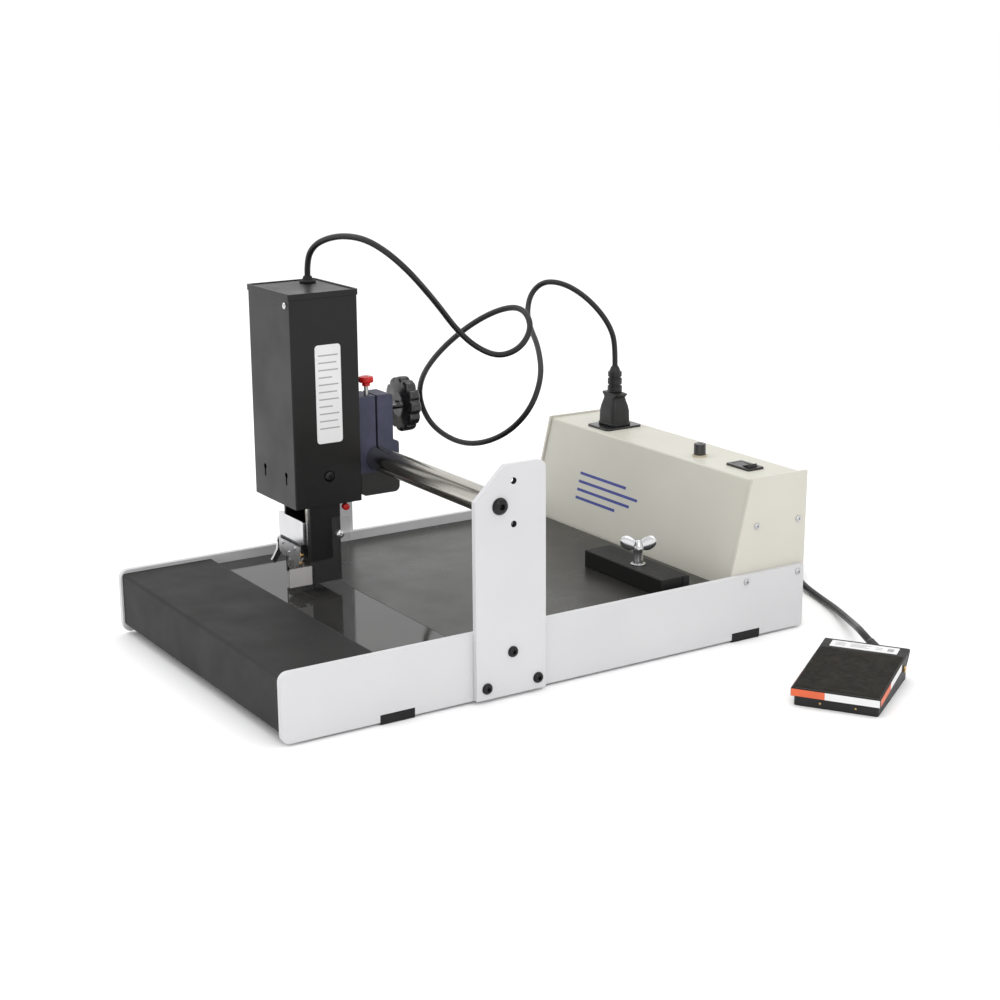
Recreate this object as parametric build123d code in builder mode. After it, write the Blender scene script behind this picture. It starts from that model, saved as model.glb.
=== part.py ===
"""Table-top electric numbering press with a foot switch.

A solenoid head with a numbering unit rides on a round cross bar over a paper deck.
Two side rails carry the deck, the bar's towers and the control box at the back.
The foot switch lies on the bench beside the machine and its cord runs to the back panel.

Frame: +X right, +Y to the back, +Z up, millimetres. The origin is on the bench under the
middle of the machine and foot switch taken together. Sizes inside the machine are counted
from its centre line (x), its front panel (y) and the bench (z).
"""
import os
from math import cos, radians, sin, tan

from build123d import *

os.makedirs("parts", exist_ok=True)

# ---------------------------------------------------------------- driving dimensions
x_mid = -115.13             # machine centre line in the part's frame
y_front = -319.95           # front panel's face in the part's frame

rail_outer = 191.5          # half the width over the side rails
rail_thick = 6.0
rail_inner = rail_outer - rail_thick
rail_front = -2.0
rail_back = 610.0
rail_bottom = 2.5
rail_top = 70.3
rail_corner = 9.0
rail_middle = (rail_front + rail_back) / 2

foot_length = 36.5
foot_height = 9.3
foot_depth = 21.7
foot_starts = (98.5, 514.5)
notch_height = 7.2
fit_gap = 0.2               # clearance of pieces that sit beside each other

sheet = 2.0                 # thickness of the folded covers
cover_top = 66.6
cover_depth = 103.0
panel_bottom = 10.3
deck_top = 60.0
deck_thick = 3.0
deck_half = rail_inner - 0.3
deck_seam = 188.5
deck_end = 509.5
brace_height = 12.0
brace_depth = 18.0

tower_thick = 6.0
tower_front = 199.0
tower_back = 278.0
tower_top = 229.7
tower_bolts_at = ((239.9, 46.2), (210.8, 14.4), (268.6, 14.3))
tower_holes_at = ((241.7, 213.5), (241.7, 171.8))
tower_hole_radius = 3.25

bar_radius = 12.7
bar_y = 226.2
bar_z = 191.1

box_half = 182.3            # half the inside width of the control box
box_plate = 3.0
box_top = 168.0
box_back = 612.3
box_base = 46.0

head_left = -118.5
head_right = -25.5
head_front = 126.4
head_back = 201.5
head_bottom = 152.0
head_top = 363.5
head_wall = 3.0
ram_x = -64.0
ram_y = 160.0

clamp_left = -66.0
clamp_right = -36.0
clamp_mid = (clamp_left + clamp_right) / 2
knob_z = 240.8
knob_radius = 29.0

leg_left = -92.0
leg_right = -33.0
leg_front = 145.0
leg_back = 180.0
leg_bottom = 69.5

wheel_radius = 13.0
wheel_width = 6.0
wheel_pitch = 6.6
wheel_count = 4
wheel_y = 152.0
wheel_z = 83.5

stop_left = 43.0
stop_right = 177.5
stop_front = 432.0
stop_back = 467.0
stop_height = 18.0
stop_screw = (118.0, 447.0)

pedal_x = 364.2
pedal_y = 519.0
pedal_turn = 32.7           # degrees about +Z
pedal_half = 42.8
pedal_front_y = -59.5
pedal_back_y = 59.5
pedal_front_top = 18.6
pedal_back_top = 30.0
pedal_pin_y = 34.0
pedal_pin_z = 17.5

head_cord_radius = 3.15
pedal_cord_radius = 3.75
coil_x = 20.0
coil_y = 694.0


# ---------------------------------------------------------------- planes and helpers
def level(height):
    """Horizontal plane over the bench; local x and y count across and along the machine."""
    return Plane(origin=(x_mid, y_front, height))


def across(x):
    """Upright plane that faces right; local x runs to the back and local y up."""
    return Plane(origin=(x_mid + x, y_front, 0), x_dir=(0, 1, 0), z_dir=(1, 0, 0))


def facing(y):
    """Upright plane that faces the front; local x runs to the right and local y up."""
    return Plane(origin=(x_mid, y_front + y, 0), x_dir=(1, 0, 0), z_dir=(0, -1, 0))


def foot_switch(height):
    """Horizontal plane in the foot switch's own turned frame."""
    turned = (cos(radians(pedal_turn)), sin(radians(pedal_turn)), 0)
    return Plane(origin=(x_mid + pedal_x, y_front + pedal_y, height), x_dir=turned, z_dir=(0, 0, 1))


def foot_switch_side(x):
    """Upright plane of the foot switch that faces its right; local x to its back, y up."""
    base = foot_switch(0)
    return Plane(origin=base.from_local_coords((x, 0, 0)), x_dir=base.y_dir, z_dir=base.x_dir)


def rect(x1, x2, y1, y2):
    """A rectangle in the current sketch between two pairs of limits."""
    with Locations(((x1 + x2) / 2, (y1 + y2) / 2)):
        Rectangle(abs(x2 - x1), abs(y2 - y1))


def save(builder, label):
    """Label a finished piece and write it to its own STEP file."""
    builder.part.label = label
    export_step(builder.part, f"parts/{label}.step")


def at_machine(points):
    """Route points counted in the machine, as points of the part's frame."""
    return [(x_mid + x, y_front + y, z) for x, y, z in points]


def cord_tube(points, radius, name):
    """A plain cord: straight runs joined by the largest tangent arcs that they allow."""
    corners = [Vector(*p) for p in points]
    runs = [b - a for a, b in zip(corners, corners[1:])]
    radii = []
    for before, after in zip(runs, runs[1:]):
        turn = radians(before.get_angle(after))
        radii.append(0.45 * min(before.length, after.length) / tan(turn / 2))
    with BuildPart() as tube:
        with BuildLine() as path:
            FilletPolyline(*corners, radius=radii)
        with BuildSketch(Plane(origin=corners[0], z_dir=runs[0])):
            Circle(radius)
        sweep()
    length = path.wire().length
    print(name, "length", round(length, 1), "volume ratio",
          round(tube.part.volume / (3.14159265 * radius ** 2 * length), 4))
    print(name, "radii", [round(r, 1) for r in radii])
    return tube


# ---------------------------------------------------------------- side rails and feet
def make_rail(side):
    """One side rail, with notches for the feet and holes for its bolts and screws."""
    start = rail_inner if side > 0 else -rail_outer
    with BuildPart() as rail:
        with BuildSketch(across(start)) as outline:
            rect(rail_front, rail_back, rail_bottom, rail_top)
            fillet(outline.vertices().group_by(Axis.X)[0], rail_corner)
            fillet(outline.vertices().group_by(Axis.X)[-1], 2)
            for y in foot_starts:
                with Locations((y + foot_length / 2, rail_bottom + notch_height / 2)):
                    Rectangle(foot_length, notch_height, mode=Mode.SUBTRACT)
            with Locations(*tower_bolts_at):
                Circle(3.3, mode=Mode.SUBTRACT)
            with Locations((531.8, 63.1), (601.7, 62.9)):
                Circle(2.1, mode=Mode.SUBTRACT)
        extrude(amount=rail_thick)
        chamfer(rail.faces().filter_by(Axis.X).edges().filter_by(GeomType.LINE), 0.4)
    return rail


save(make_rail(1), "side_rail_right")
save(make_rail(-1), "side_rail_left")

with BuildPart() as feet:
    for side in (1, -1):
        for y in foot_starts:
            with BuildSketch(level(0)):
                outer = rail_outer + fit_gap
                rect(side * (outer - foot_depth), side * outer, y + fit_gap, y + foot_length - fit_gap)
            extrude(amount=foot_height)
    chamfer(feet.faces().sort_by(Axis.Z)[:4].edges(), 1.0)
save(feet, "rubber_feet")

# ---------------------------------------------------------------- front cover and deck
with BuildPart() as front_cover:
    with BuildSketch(across(-deck_half)):
        with BuildLine():
            FilletPolyline(
                (14, panel_bottom),
                (0, panel_bottom),
                (0, cover_top),
                (cover_depth, cover_top),
                (cover_depth, deck_top + 0.3),
                radius=3.5,
            )
            offset(amount=sheet, side=Side.RIGHT)
        make_face()
    extrude(amount=2 * deck_half)
save(front_cover, "front_cover")


def deck_plate(y1, y2, slot_length=0.0):
    """One flat deck plate between two places along the machine, with a slot for the stop's screw."""
    with BuildPart() as plate:
        with BuildSketch(level(deck_top - deck_thick)):
            rect(-deck_half, deck_half, y1, y2)
            if slot_length:
                with Locations((stop_screw[0], stop_screw[1] + slot_length / 2 - 4)):
                    SlotCenterToCenter(slot_length, 7.0, rotation=90, mode=Mode.SUBTRACT)
        extrude(amount=deck_thick)
    return plate


save(deck_plate(cover_depth + 0.4, deck_seam - 0.2), "mid_deck")

save(deck_plate(deck_seam + 0.2, deck_end, 48.0), "rear_deck")

with BuildPart() as deck_braces:
    for y in (104.0, deck_seam, 400.0):
        with BuildSketch(level(deck_top - deck_thick - brace_height)):
            rect(-deck_half, deck_half, y - brace_depth / 2, y + brace_depth / 2)
        extrude(amount=brace_height)
    for y in (104.0, deck_seam, 400.0):
        with BuildSketch(across(-deck_half)):
            with Locations((y, deck_top - deck_thick - brace_height / 2 - 1.5)):
                Rectangle(brace_depth - 4, brace_height - 3)
        extrude(amount=2 * deck_half, mode=Mode.SUBTRACT)
save(deck_braces, "deck_braces")


# ---------------------------------------------------------------- towers, bar and bolts
def make_tower(side):
    """One upright plate that holds an end of the cross bar."""
    start = rail_outer if side > 0 else -rail_outer - tower_thick
    with BuildPart() as tower:
        with BuildSketch(across(start)) as outline:
            with BuildLine():
                Polyline(
                    (tower_front, 3.0),
                    (tower_back, 3.0),
                    (tower_back, tower_top),
                    (232.0, tower_top),
                    (tower_front, 198.0),
                    close=True,
                )
            make_face()
            fillet(outline.vertices().group_by(Axis.Y)[-1].sort_by(Axis.X)[-1], 8)
            fillet(outline.vertices().group_by(Axis.Y)[0], 1.5)
            with Locations((bar_y, bar_z)):
                Circle(5.1, mode=Mode.SUBTRACT)
            with Locations(*tower_holes_at):
                Circle(tower_hole_radius, mode=Mode.SUBTRACT)
            with Locations(*tower_bolts_at):
                Circle(3.3, mode=Mode.SUBTRACT)
        extrude(amount=tower_thick)
        chamfer(tower.faces().filter_by(Axis.X).edges().filter_by(GeomType.LINE), 0.4)
    return tower


save(make_tower(1), "tower_right")
save(make_tower(-1), "tower_left")

with BuildPart() as cross_bar:
    with BuildSketch(across(-rail_outer)):
        with Locations((bar_y, bar_z)):
            Circle(bar_radius)
            Circle(4.75, mode=Mode.SUBTRACT)
    extrude(amount=2 * rail_outer)
    with BuildSketch(across(-rail_outer + 28)):
        with Locations((bar_y, bar_z)):
            Circle(6)
    extrude(amount=2 * (rail_outer - 28))
save(cross_bar, "cross_bar")


def button_bolt(place, side, head_x, head_radius, head_height, shank_radius, shank_length):
    """A button-head socket bolt whose head bears on the outer face at head_x on one side."""
    seat = Plane(
        origin=(x_mid + side * head_x, y_front + place[0], place[1]),
        x_dir=(0, side, 0),
        z_dir=(side, 0, 0),
    )
    with BuildPart() as bolt:
        with BuildSketch(seat):
            Circle(head_radius)
        extrude(amount=head_height, taper=28)
        with BuildSketch(seat.offset(head_height * 0.3)):
            RegularPolygon(head_radius * 0.36, 6)
        extrude(amount=head_height, mode=Mode.SUBTRACT)
        with BuildSketch(seat):
            Circle(shank_radius)
        extrude(amount=-shank_length)
    return bolt.part


def nut(place, side, near_x, thickness, across_points):
    """A plain hexagon nut whose outer face bears on the inside of a rail at near_x."""
    with BuildPart() as hexagon:
        with BuildSketch(across(side * near_x)):
            with Locations(place):
                RegularPolygon(across_points, 6)
        extrude(amount=-side * thickness)
    return hexagon.part


tower_outer = rail_outer + tower_thick
with BuildPart() as bar_end_bolts:
    for side in (1, -1):
        add(button_bolt((bar_y, bar_z), side, tower_outer, 8.35, 4.6, 4.7, 30.0))
save(bar_end_bolts, "bar_end_bolts")

with BuildPart() as tower_bolts:
    for side in (1, -1):
        for place in tower_bolts_at:
            add(button_bolt(place, side, tower_outer, 5.55, 3.2, 3.15, 19.0))
            add(nut(place, side, rail_inner - 0.1, 5.5, 6.4))
save(tower_bolts, "tower_bolts")


# ---------------------------------------------------------------- control box shell
def make_box_end(side):
    """One end plate of the control box, with a sloped front edge."""
    start = box_half if side > 0 else -box_half - box_plate
    with BuildPart() as plate:
        with BuildSketch(across(start)) as outline:
            with BuildLine():
                Polyline(
                    (511.0, box_base),
                    (614.6, box_base),
                    (616.0, box_top + 1.6),
                    (541.5, box_top + 2.4),
                    close=True,
                )
            make_face()
            fillet(outline.vertices().group_by(Axis.Y)[-1], 1.5)
            with Locations((531.8, 63.1), (601.7, 62.9)):
                Circle(1.75, mode=Mode.SUBTRACT)
            with Locations((548.8, 119.0), (605.3, 118.7)):
                Circle(2.1, mode=Mode.SUBTRACT)
        extrude(amount=box_plate)
    return plate


save(make_box_end(1), "box_end_right")
save(make_box_end(-1), "box_end_left")

outlet_at = (-105.0, 578.0)
fuse_at = (68.0, 566.0)
switch_at = (133.5, 574.5)
cover_sheet = 1.6

with BuildPart() as box_cover:
    with BuildSketch(across(-box_half + 0.15)):
        with BuildLine():
            FilletPolyline(
                (513.2, box_base + 0.5),
                (543.4, box_top),
                (box_back - 0.1, box_top),
                (box_back - 0.1, box_top - 10),
                radius=2.2,
            )
            offset(amount=cover_sheet, side=Side.RIGHT)
        make_face()
    extrude(amount=2 * box_half - 0.3)
    for side in (1, -1):
        with BuildSketch(across(side * (box_half - 0.15))):
            with BuildLine():
                Polyline((518.5, 62), (544.5, 166.5), (562, 166.5), (536, 62), close=True)
            make_face()
            with Locations((548.8, 119.0), (531.8, 63.1)):
                Circle(1.85, mode=Mode.SUBTRACT)
        extrude(amount=-side * cover_sheet)
    with BuildSketch(level(box_top - 5)):
        with Locations(outlet_at):
            RectangleRounded(34.4, 44.4, 3)
        with Locations(fuse_at):
            Circle(6.3)
        with Locations(switch_at):
            Rectangle(31.6, 17.6)
    extrude(amount=6, mode=Mode.SUBTRACT)
save(box_cover, "box_cover")

inlet_at = (-70.0, 104.0)
gland_at = (coil_x - 46.3, 30.0)
with BuildPart() as box_back_panel:
    with BuildSketch(facing(box_back)):
        rect(-box_half + 0.2, box_half - 0.2, 12.0, box_top - 3)
        with Locations(inlet_at):
            Rectangle(27.4, 19.4, mode=Mode.SUBTRACT)
        with Locations(gland_at):
            Circle(6.2, mode=Mode.SUBTRACT)
        for column in range(7):
            with Locations((60 + column * 12, 118)):
                SlotCenterToCenter(30, 4.6, rotation=90, mode=Mode.SUBTRACT)
    extrude(amount=-cover_sheet)
    for side in (1, -1):
        with BuildSketch(across(side * (box_half - 0.2))):
            rect(596.0, box_back + 0.4, 52.0, 156.0)
            with Locations((605.3, 118.7), (601.7, 62.9)):
                Circle(1.85, mode=Mode.SUBTRACT)
        extrude(amount=-side * cover_sheet)
save(box_back_panel, "box_back_panel")

with BuildPart() as box_floor:
    with BuildSketch(level(box_base + 2)):
        rect(-box_half + 0.2, box_half - 0.2, 517.0, box_back - 2)
    extrude(amount=sheet)
save(box_floor, "box_floor")

with BuildPart() as box_screws:
    for side in (1, -1):
        for place in ((548.8, 119.0), (605.3, 118.7)):
            add(button_bolt(place, side, box_half + box_plate, 3.6, 2.0, 1.7, 9.0))
        for place in ((531.8, 63.1), (601.7, 62.9)):
            add(button_bolt(place, side, rail_outer, 3.6, 2.0, 1.7, 12.0))
save(box_screws, "box_screws")

# ---------------------------------------------------------------- control box fittings
with BuildPart() as outlet_socket:
    with BuildSketch(level(box_top)):
        with Locations(outlet_at):
            RectangleRounded(40, 50, 4)
    extrude(amount=2.5)
    fillet(outlet_socket.faces().sort_by(Axis.Z)[-1].edges(), 0.8)
    with BuildSketch(level(box_top)):
        with Locations(outlet_at):
            RectangleRounded(33.6, 43.6, 3)
    extrude(amount=-22)
    with BuildSketch(level(box_top + 2.5)):
        with Locations((outlet_at[0] - 6.35, outlet_at[1] + 3), (outlet_at[0] + 6.35, outlet_at[1] + 3)):
            Rectangle(2.0, 8.0)
        with Locations((outlet_at[0], outlet_at[1] - 8.9)):
            Circle(2.7)
    extrude(amount=-19, mode=Mode.SUBTRACT)
save(outlet_socket, "outlet_socket")

with BuildPart() as mains_inlet:
    with BuildSketch(facing(box_back + cover_sheet)):
        with Locations(inlet_at):
            RectangleRounded(48, 25, 3)
    extrude(amount=-2.4)
    with BuildSketch(facing(box_back + cover_sheet)):
        with Locations(inlet_at):
            Rectangle(27, 19)
    extrude(amount=24)
    with BuildSketch(facing(box_back + cover_sheet + 2.4)):
        with Locations(inlet_at):
            RectangleRounded(24, 16, 3)
    extrude(amount=19, mode=Mode.SUBTRACT)
    with BuildSketch(facing(box_back + cover_sheet)):
        for dx, dz in ((-7, -1.5), (0, 2.5), (7, -1.5)):
            with Locations((inlet_at[0] + dx, inlet_at[1] + dz)):
                Rectangle(2, 4)
    extrude(amount=18)
save(mains_inlet, "mains_inlet")

with BuildPart() as fuse_holder:
    with BuildSketch(level(box_top)):
        with Locations(fuse_at):
            Circle(8)
    extrude(amount=1.8)
    with BuildSketch(level(box_top)):
        with Locations(fuse_at):
            Circle(6)
    extrude(amount=-28)
    with BuildSketch(level(box_top + 1.8)):
        with Locations(fuse_at):
            Circle(4.7)
    extrude(amount=-24, mode=Mode.SUBTRACT)
save(fuse_holder, "fuse_holder")

with BuildPart() as fuse_cap:
    with BuildSketch(level(box_top + 2.1)):
        with Locations(fuse_at):
            Circle(6.5)
    extrude(amount=12)
    fillet(fuse_cap.faces().sort_by(Axis.Z)[-1].edges(), 0.8)
    with BuildSketch(level(box_top + 14.1)):
        with Locations(fuse_at):
            Rectangle(8, 1.6)
    extrude(amount=-2, mode=Mode.SUBTRACT)
    with BuildSketch(level(box_top + 2.1)):
        with Locations(fuse_at):
            Circle(4.63)
    extrude(amount=-18)
save(fuse_cap, "fuse_cap")

switch_x, switch_y = switch_at
rocker_tilt = radians(7.0)
rocker_pivot_z = box_top - 1.0
rocker_pin_reach = 7.1
with BuildPart() as switch_bezel:
    with BuildSketch(level(box_top)):
        with Locations(switch_at):
            RectangleRounded(37, 22, 2)
    extrude(amount=2.5)
    with BuildSketch(level(box_top)):
        with Locations(switch_at):
            Rectangle(31, 17)
    extrude(amount=-24)
    with BuildSketch(level(box_top + 2.5)):
        with Locations(switch_at):
            Rectangle(28.4, 12.6)
    extrude(amount=-20, mode=Mode.SUBTRACT)
    chamfer(switch_bezel.faces().sort_by(Axis.Z)[-1].edges(), 0.6)
    with BuildSketch(facing(switch_y)):
        with Locations((switch_x, rocker_pivot_z)):
            Circle(1.6)
    extrude(amount=rocker_pin_reach + 0.2, both=True, mode=Mode.SUBTRACT)
save(switch_bezel, "switch_bezel")

rocker_plane = Plane(
    origin=(x_mid + switch_x, y_front + switch_y + 5.9, rocker_pivot_z),
    x_dir=(cos(rocker_tilt), 0, sin(rocker_tilt)),
    z_dir=(0, -1, 0),
)
with BuildPart() as switch_rocker:
    with BuildSketch(rocker_plane):
        with BuildLine():
            Polyline((-12.6, 5.0), (0, 2.8), (12.6, 5.0), (12.9, -2.0))
            ThreePointArc((12.9, -2.0), (0, -9.5), (-12.9, -2.0))
            Line((-12.9, -2.0), (-12.6, 5.0))
        make_face()
    extrude(amount=11.8)
    with BuildSketch(facing(switch_y)):
        with Locations((switch_x, rocker_pivot_z)):
            Circle(1.5)
    extrude(amount=rocker_pin_reach, both=True)
save(switch_rocker, "switch_rocker")

with BuildPart() as transformer:
    with BuildSketch(level(box_base + 4)):
        rect(-150, -90, 545, 597)
    extrude(amount=50)
    chamfer(transformer.edges().filter_by(Axis.Z), 2)
    with BuildSketch(across(-158)):
        rect(552, 590, box_base + 14, box_base + 44)
    extrude(amount=76)
    chamfer(transformer.edges().filter_by(Axis.X).group_by(Axis.Z)[-1], 1)
save(transformer, "transformer")

with BuildPart() as circuit_board:
    with BuildSketch(level(box_base + 10)):
        rect(-40, 90, 540, 602)
    extrude(amount=1.6)
    with BuildSketch(level(box_base + 4)):
        with Locations((-34, 546), (84, 546), (-34, 596), (84, 596)):
            Circle(3)
    extrude(amount=6)
    with BuildSketch(level(box_base + 11.6)):
        rect(-30, -2, 552, 568)
        rect(10, 40, 548, 560)
        rect(50, 80, 576, 596)
    extrude(amount=20)
save(circuit_board, "circuit_board")

# ---------------------------------------------------------------- paper stop
with BuildPart() as stop_bar:
    with BuildSketch(level(deck_top + 0.3)):
        rect(stop_left, stop_right, stop_front, stop_back)
    extrude(amount=stop_height)
    chamfer(stop_bar.edges().filter_by(Axis.Z), 0.8)
    chamfer(stop_bar.faces().sort_by(Axis.Z)[-1].edges(), 0.8)
    with BuildSketch(level(deck_top + 0.3)):
        with Locations(stop_screw):
            Circle(3.4)
    extrude(amount=stop_height, mode=Mode.SUBTRACT)
save(stop_bar, "stop_bar")

screw_x, screw_y = stop_screw
wing_turn = radians(57.0)
washer_z = deck_top + 0.3 + stop_height
with BuildPart() as stop_wing_screw:
    for radius, bottom, height in (
        (3.1, washer_z - 28, 28),
        (8.0, washer_z, 1.6),
        (5.4, washer_z + 1.6, 16.4),
    ):
        with BuildSketch(level(bottom)):
            with Locations(stop_screw):
                Circle(radius)
        extrude(amount=height)
    with BuildSketch(Plane(
        origin=(x_mid + screw_x, y_front + screw_y, washer_z),
        x_dir=(cos(wing_turn), sin(wing_turn), 0),
        z_dir=(sin(wing_turn), -cos(wing_turn), 0),
    )):
        for side in (1, -1):
            with BuildLine():
                Polyline(
                    (0, 14),
                    (side * 7, 17),
                    (side * 16.5, 19.5),
                    (side * 19, 23),
                    (side * 19, 28),
                    (side * 16, 31.5),
                    (side * 9, 32),
                    (side * 4, 27),
                    (0, 26),
                    close=True,
                )
            make_face()
    extrude(amount=2, both=True)
save(stop_wing_screw, "stop_wing_screw")

with BuildPart() as stop_clamp_nut:
    with BuildSketch(level(deck_top - deck_thick - 7)):
        with Locations(stop_screw):
            Rectangle(20, 14)
            Circle(3.15, mode=Mode.SUBTRACT)
    extrude(amount=6.7)
save(stop_clamp_nut, "stop_clamp_nut")

# ---------------------------------------------------------------- clamp on the bar
with BuildPart() as clamp_block:
    with BuildSketch(across(clamp_left)) as outline:
        rect(head_back, 245.3, 200.0, 256.5)
        rect(head_back, 252.0, 176.0, 207.0)
        fillet(outline.vertices().group_by(Axis.X)[-1], 4)
        fillet(outline.vertices().group_by(Axis.Y)[-1].sort_by(Axis.X)[-1], 3)
        with Locations((bar_y, bar_z)):
            Circle(bar_radius + 0.05, mode=Mode.SUBTRACT)
        with Locations((bar_y, 230)):
            Rectangle(2.4, 60, mode=Mode.SUBTRACT)
    extrude(amount=clamp_right - clamp_left)
    with BuildSketch(facing(head_back)):
        with Locations((clamp_mid, knob_z)):
            Circle(4.6)
    extrude(amount=-50, mode=Mode.SUBTRACT)
    with BuildSketch(level(238)):
        with Locations((-43.5, 219.0)):
            Circle(2.5)
    extrude(amount=20, mode=Mode.SUBTRACT)
save(clamp_block, "clamp_block")

with BuildPart() as carriage_base:
    with BuildSketch(across(clamp_left)) as outline:
        rect(207.0, 252.0, 152.5, 176.0)
        fillet(outline.vertices().group_by(Axis.Y)[0], 6)
    extrude(amount=clamp_right - clamp_left)
save(carriage_base, "carriage_base")

with BuildPart() as clamp_stud:
    with BuildSketch(facing(head_back + 1)):
        with Locations((clamp_mid, knob_z)):
            Circle(4.5)
    extrude(amount=-(262.0 - head_back - 1))
save(clamp_stud, "clamp_stud")

with BuildPart() as clamp_knob:
    with BuildSketch(facing(259.5)):
        with Locations((clamp_mid, knob_z)):
            Circle(knob_radius)
            with PolarLocations(knob_radius + 2.2, 12):
                Circle(4.4, mode=Mode.SUBTRACT)
    extrude(amount=-13.5)
    fillet(clamp_knob.faces().filter_by(Axis.Y).edges(), 1.2)
    with BuildSketch(facing(273)):
        with Locations((clamp_mid, knob_z)):
            Circle(12)
    extrude(amount=-3, taper=30)
    with BuildSketch(facing(259.5)):
        with Locations((clamp_mid, knob_z)):
            Circle(4.56)
    extrude(amount=-2.9, mode=Mode.SUBTRACT)
save(clamp_knob, "clamp_knob")

with BuildPart() as height_screw:
    for radius, bottom, height in ((2.4, 240.0, 31.0), (4.0, 266.0, 4.0), (7.6, 270.0, 6.0)):
        with BuildSketch(level(bottom)):
            with Locations((-43.5, 219.0)):
                Circle(radius)
        extrude(amount=height)
    fillet(height_screw.faces().sort_by(Axis.Z)[-1].edges(), 1.5)
save(height_screw, "height_screw")

# ---------------------------------------------------------------- head housing
with BuildPart() as head_housing:
    with BuildSketch(level(head_bottom)) as outline:
        rect(head_left, head_right, head_front, head_back)
        fillet(outline.vertices(), 1.2)
    extrude(amount=head_top - head_bottom)
    with BuildSketch(level(head_bottom + 6)):
        rect(head_left + head_wall, head_right - head_wall, head_front + head_wall, head_back - head_wall)
    extrude(amount=head_top - head_bottom, mode=Mode.SUBTRACT)
    with BuildSketch(level(head_bottom)):
        with Locations((ram_x, ram_y)):
            Circle(4.6)
    extrude(amount=6, mode=Mode.SUBTRACT)
    with BuildSketch(facing(head_front)):
        for x in (-93.5, -45.0):
            with Locations((x, 184.5)):
                Circle(3.0)
            with Locations((x, 178.5)):
                SlotCenterToCenter(6, 3.0, rotation=90)
    extrude(amount=-head_wall, mode=Mode.SUBTRACT)
    with BuildSketch(across(head_right)):
        with Locations((165.0, 182.0)):
            Circle(6.0)
    extrude(amount=-1.2, mode=Mode.SUBTRACT)
save(head_housing, "head_housing")

cap_lap = 1.0
with BuildPart() as head_cap:
    with BuildSketch(level(head_top)) as outline:
        rect(head_left - cap_lap, head_right + cap_lap, head_front - cap_lap, head_back + cap_lap)
        fillet(outline.vertices(), 2)
    extrude(amount=6)
    with BuildSketch(level(head_top + 5)):
        rect(head_left + 1, head_right - 1, head_front + 1, head_back - 1)
    extrude(amount=1, mode=Mode.SUBTRACT)
    with BuildSketch(level(head_top)):
        with Locations((-98.0, 184.0)):
            Circle(5.2)
    extrude(amount=6, mode=Mode.SUBTRACT)
save(head_cap, "head_cap")

grommet_top = 375.5
with BuildPart() as cord_grommet:
    with BuildSketch(level(head_top + 5)):
        with Locations((-98.0, 184.0)):
            Circle(8.5)
    extrude(amount=2.5)
    with BuildSketch(level(head_top + 7.5)):
        with Locations((-98.0, 184.0)):
            Circle(6.0)
    extrude(amount=grommet_top - head_top - 7.5, taper=20)
    with BuildSketch(level(head_top - 3)):
        with Locations((-98.0, 184.0)):
            Circle(5.1)
    extrude(amount=8)
save(cord_grommet, "cord_grommet")

# ---------------------------------------------------------------- solenoid and ram
with BuildPart() as solenoid_frame:
    with BuildSketch(facing(ram_y + 18)):
        rect(ram_x - 32, ram_x + 32, 214, 318)
        with Locations((ram_x, 266)):
            Rectangle(54, 94, mode=Mode.SUBTRACT)
    extrude(amount=36)
    with BuildSketch(level(214)):
        with Locations((ram_x, ram_y)):
            Circle(11.4)
    extrude(amount=5, mode=Mode.SUBTRACT)
    for height in (214, 313):
        with BuildSketch(level(height)):
            rect(ram_x - 20, ram_x + 20, ram_y + 18, head_back - head_wall)
        extrude(amount=5)
save(solenoid_frame, "solenoid_frame")

with BuildPart() as solenoid_coil:
    with BuildSketch(level(219.2)):
        with Locations((ram_x, ram_y)):
            Circle(25)
            Circle(11, mode=Mode.SUBTRACT)
    extrude(amount=93.6)
    with BuildSketch(level(223)):
        with Locations((ram_x, ram_y)):
            Circle(25)
            Circle(23, mode=Mode.SUBTRACT)
    extrude(amount=86, mode=Mode.SUBTRACT)
save(solenoid_coil, "solenoid_coil")

plunger_bottom = 134.5
stroke = 8.0
with BuildPart() as solenoid_plunger:
    for radius, bottom, height in ((4.5, plunger_bottom, 66), (9.0, 196.0, 4.0), (10.5, 200.0, 98.0)):
        with BuildSketch(level(bottom)):
            with Locations((ram_x, ram_y)):
                Circle(radius)
        extrude(amount=height)
save(solenoid_plunger, "solenoid_plunger")

spring_bottom = head_bottom + 6.2
spring_wire = 1.1
with BuildPart() as return_spring:
    with BuildLine(level(spring_bottom + spring_wire)):
        Helix(pitch=5.0, height=35.3, radius=7.2, center=(ram_x, ram_y, 0))
    with BuildSketch(Plane(
        origin=(x_mid + ram_x + 7.2, y_front + ram_y, spring_bottom + spring_wire),
        z_dir=(0, 1, 0),
    )):
        Circle(spring_wire)
    sweep(is_frenet=True)
save(return_spring, "return_spring")

# ---------------------------------------------------------------- guide leg and guard
with BuildPart() as guide_leg:
    with BuildSketch(level(leg_bottom)) as outline:
        rect(leg_left, leg_right, leg_front, leg_back)
        fillet(outline.vertices(), 1)
    extrude(amount=head_bottom - leg_bottom)
    with BuildSketch(level(leg_bottom)):
        rect(leg_left + 4, leg_right - 5, leg_front, leg_back - 6)
    extrude(amount=head_bottom - leg_bottom, mode=Mode.SUBTRACT)
    with BuildSketch(across(leg_left)):
        with Locations((176.4, 119.2)):
            Circle(2.1)
    extrude(amount=leg_right - leg_left, mode=Mode.SUBTRACT)
save(guide_leg, "guide_leg")

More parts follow.
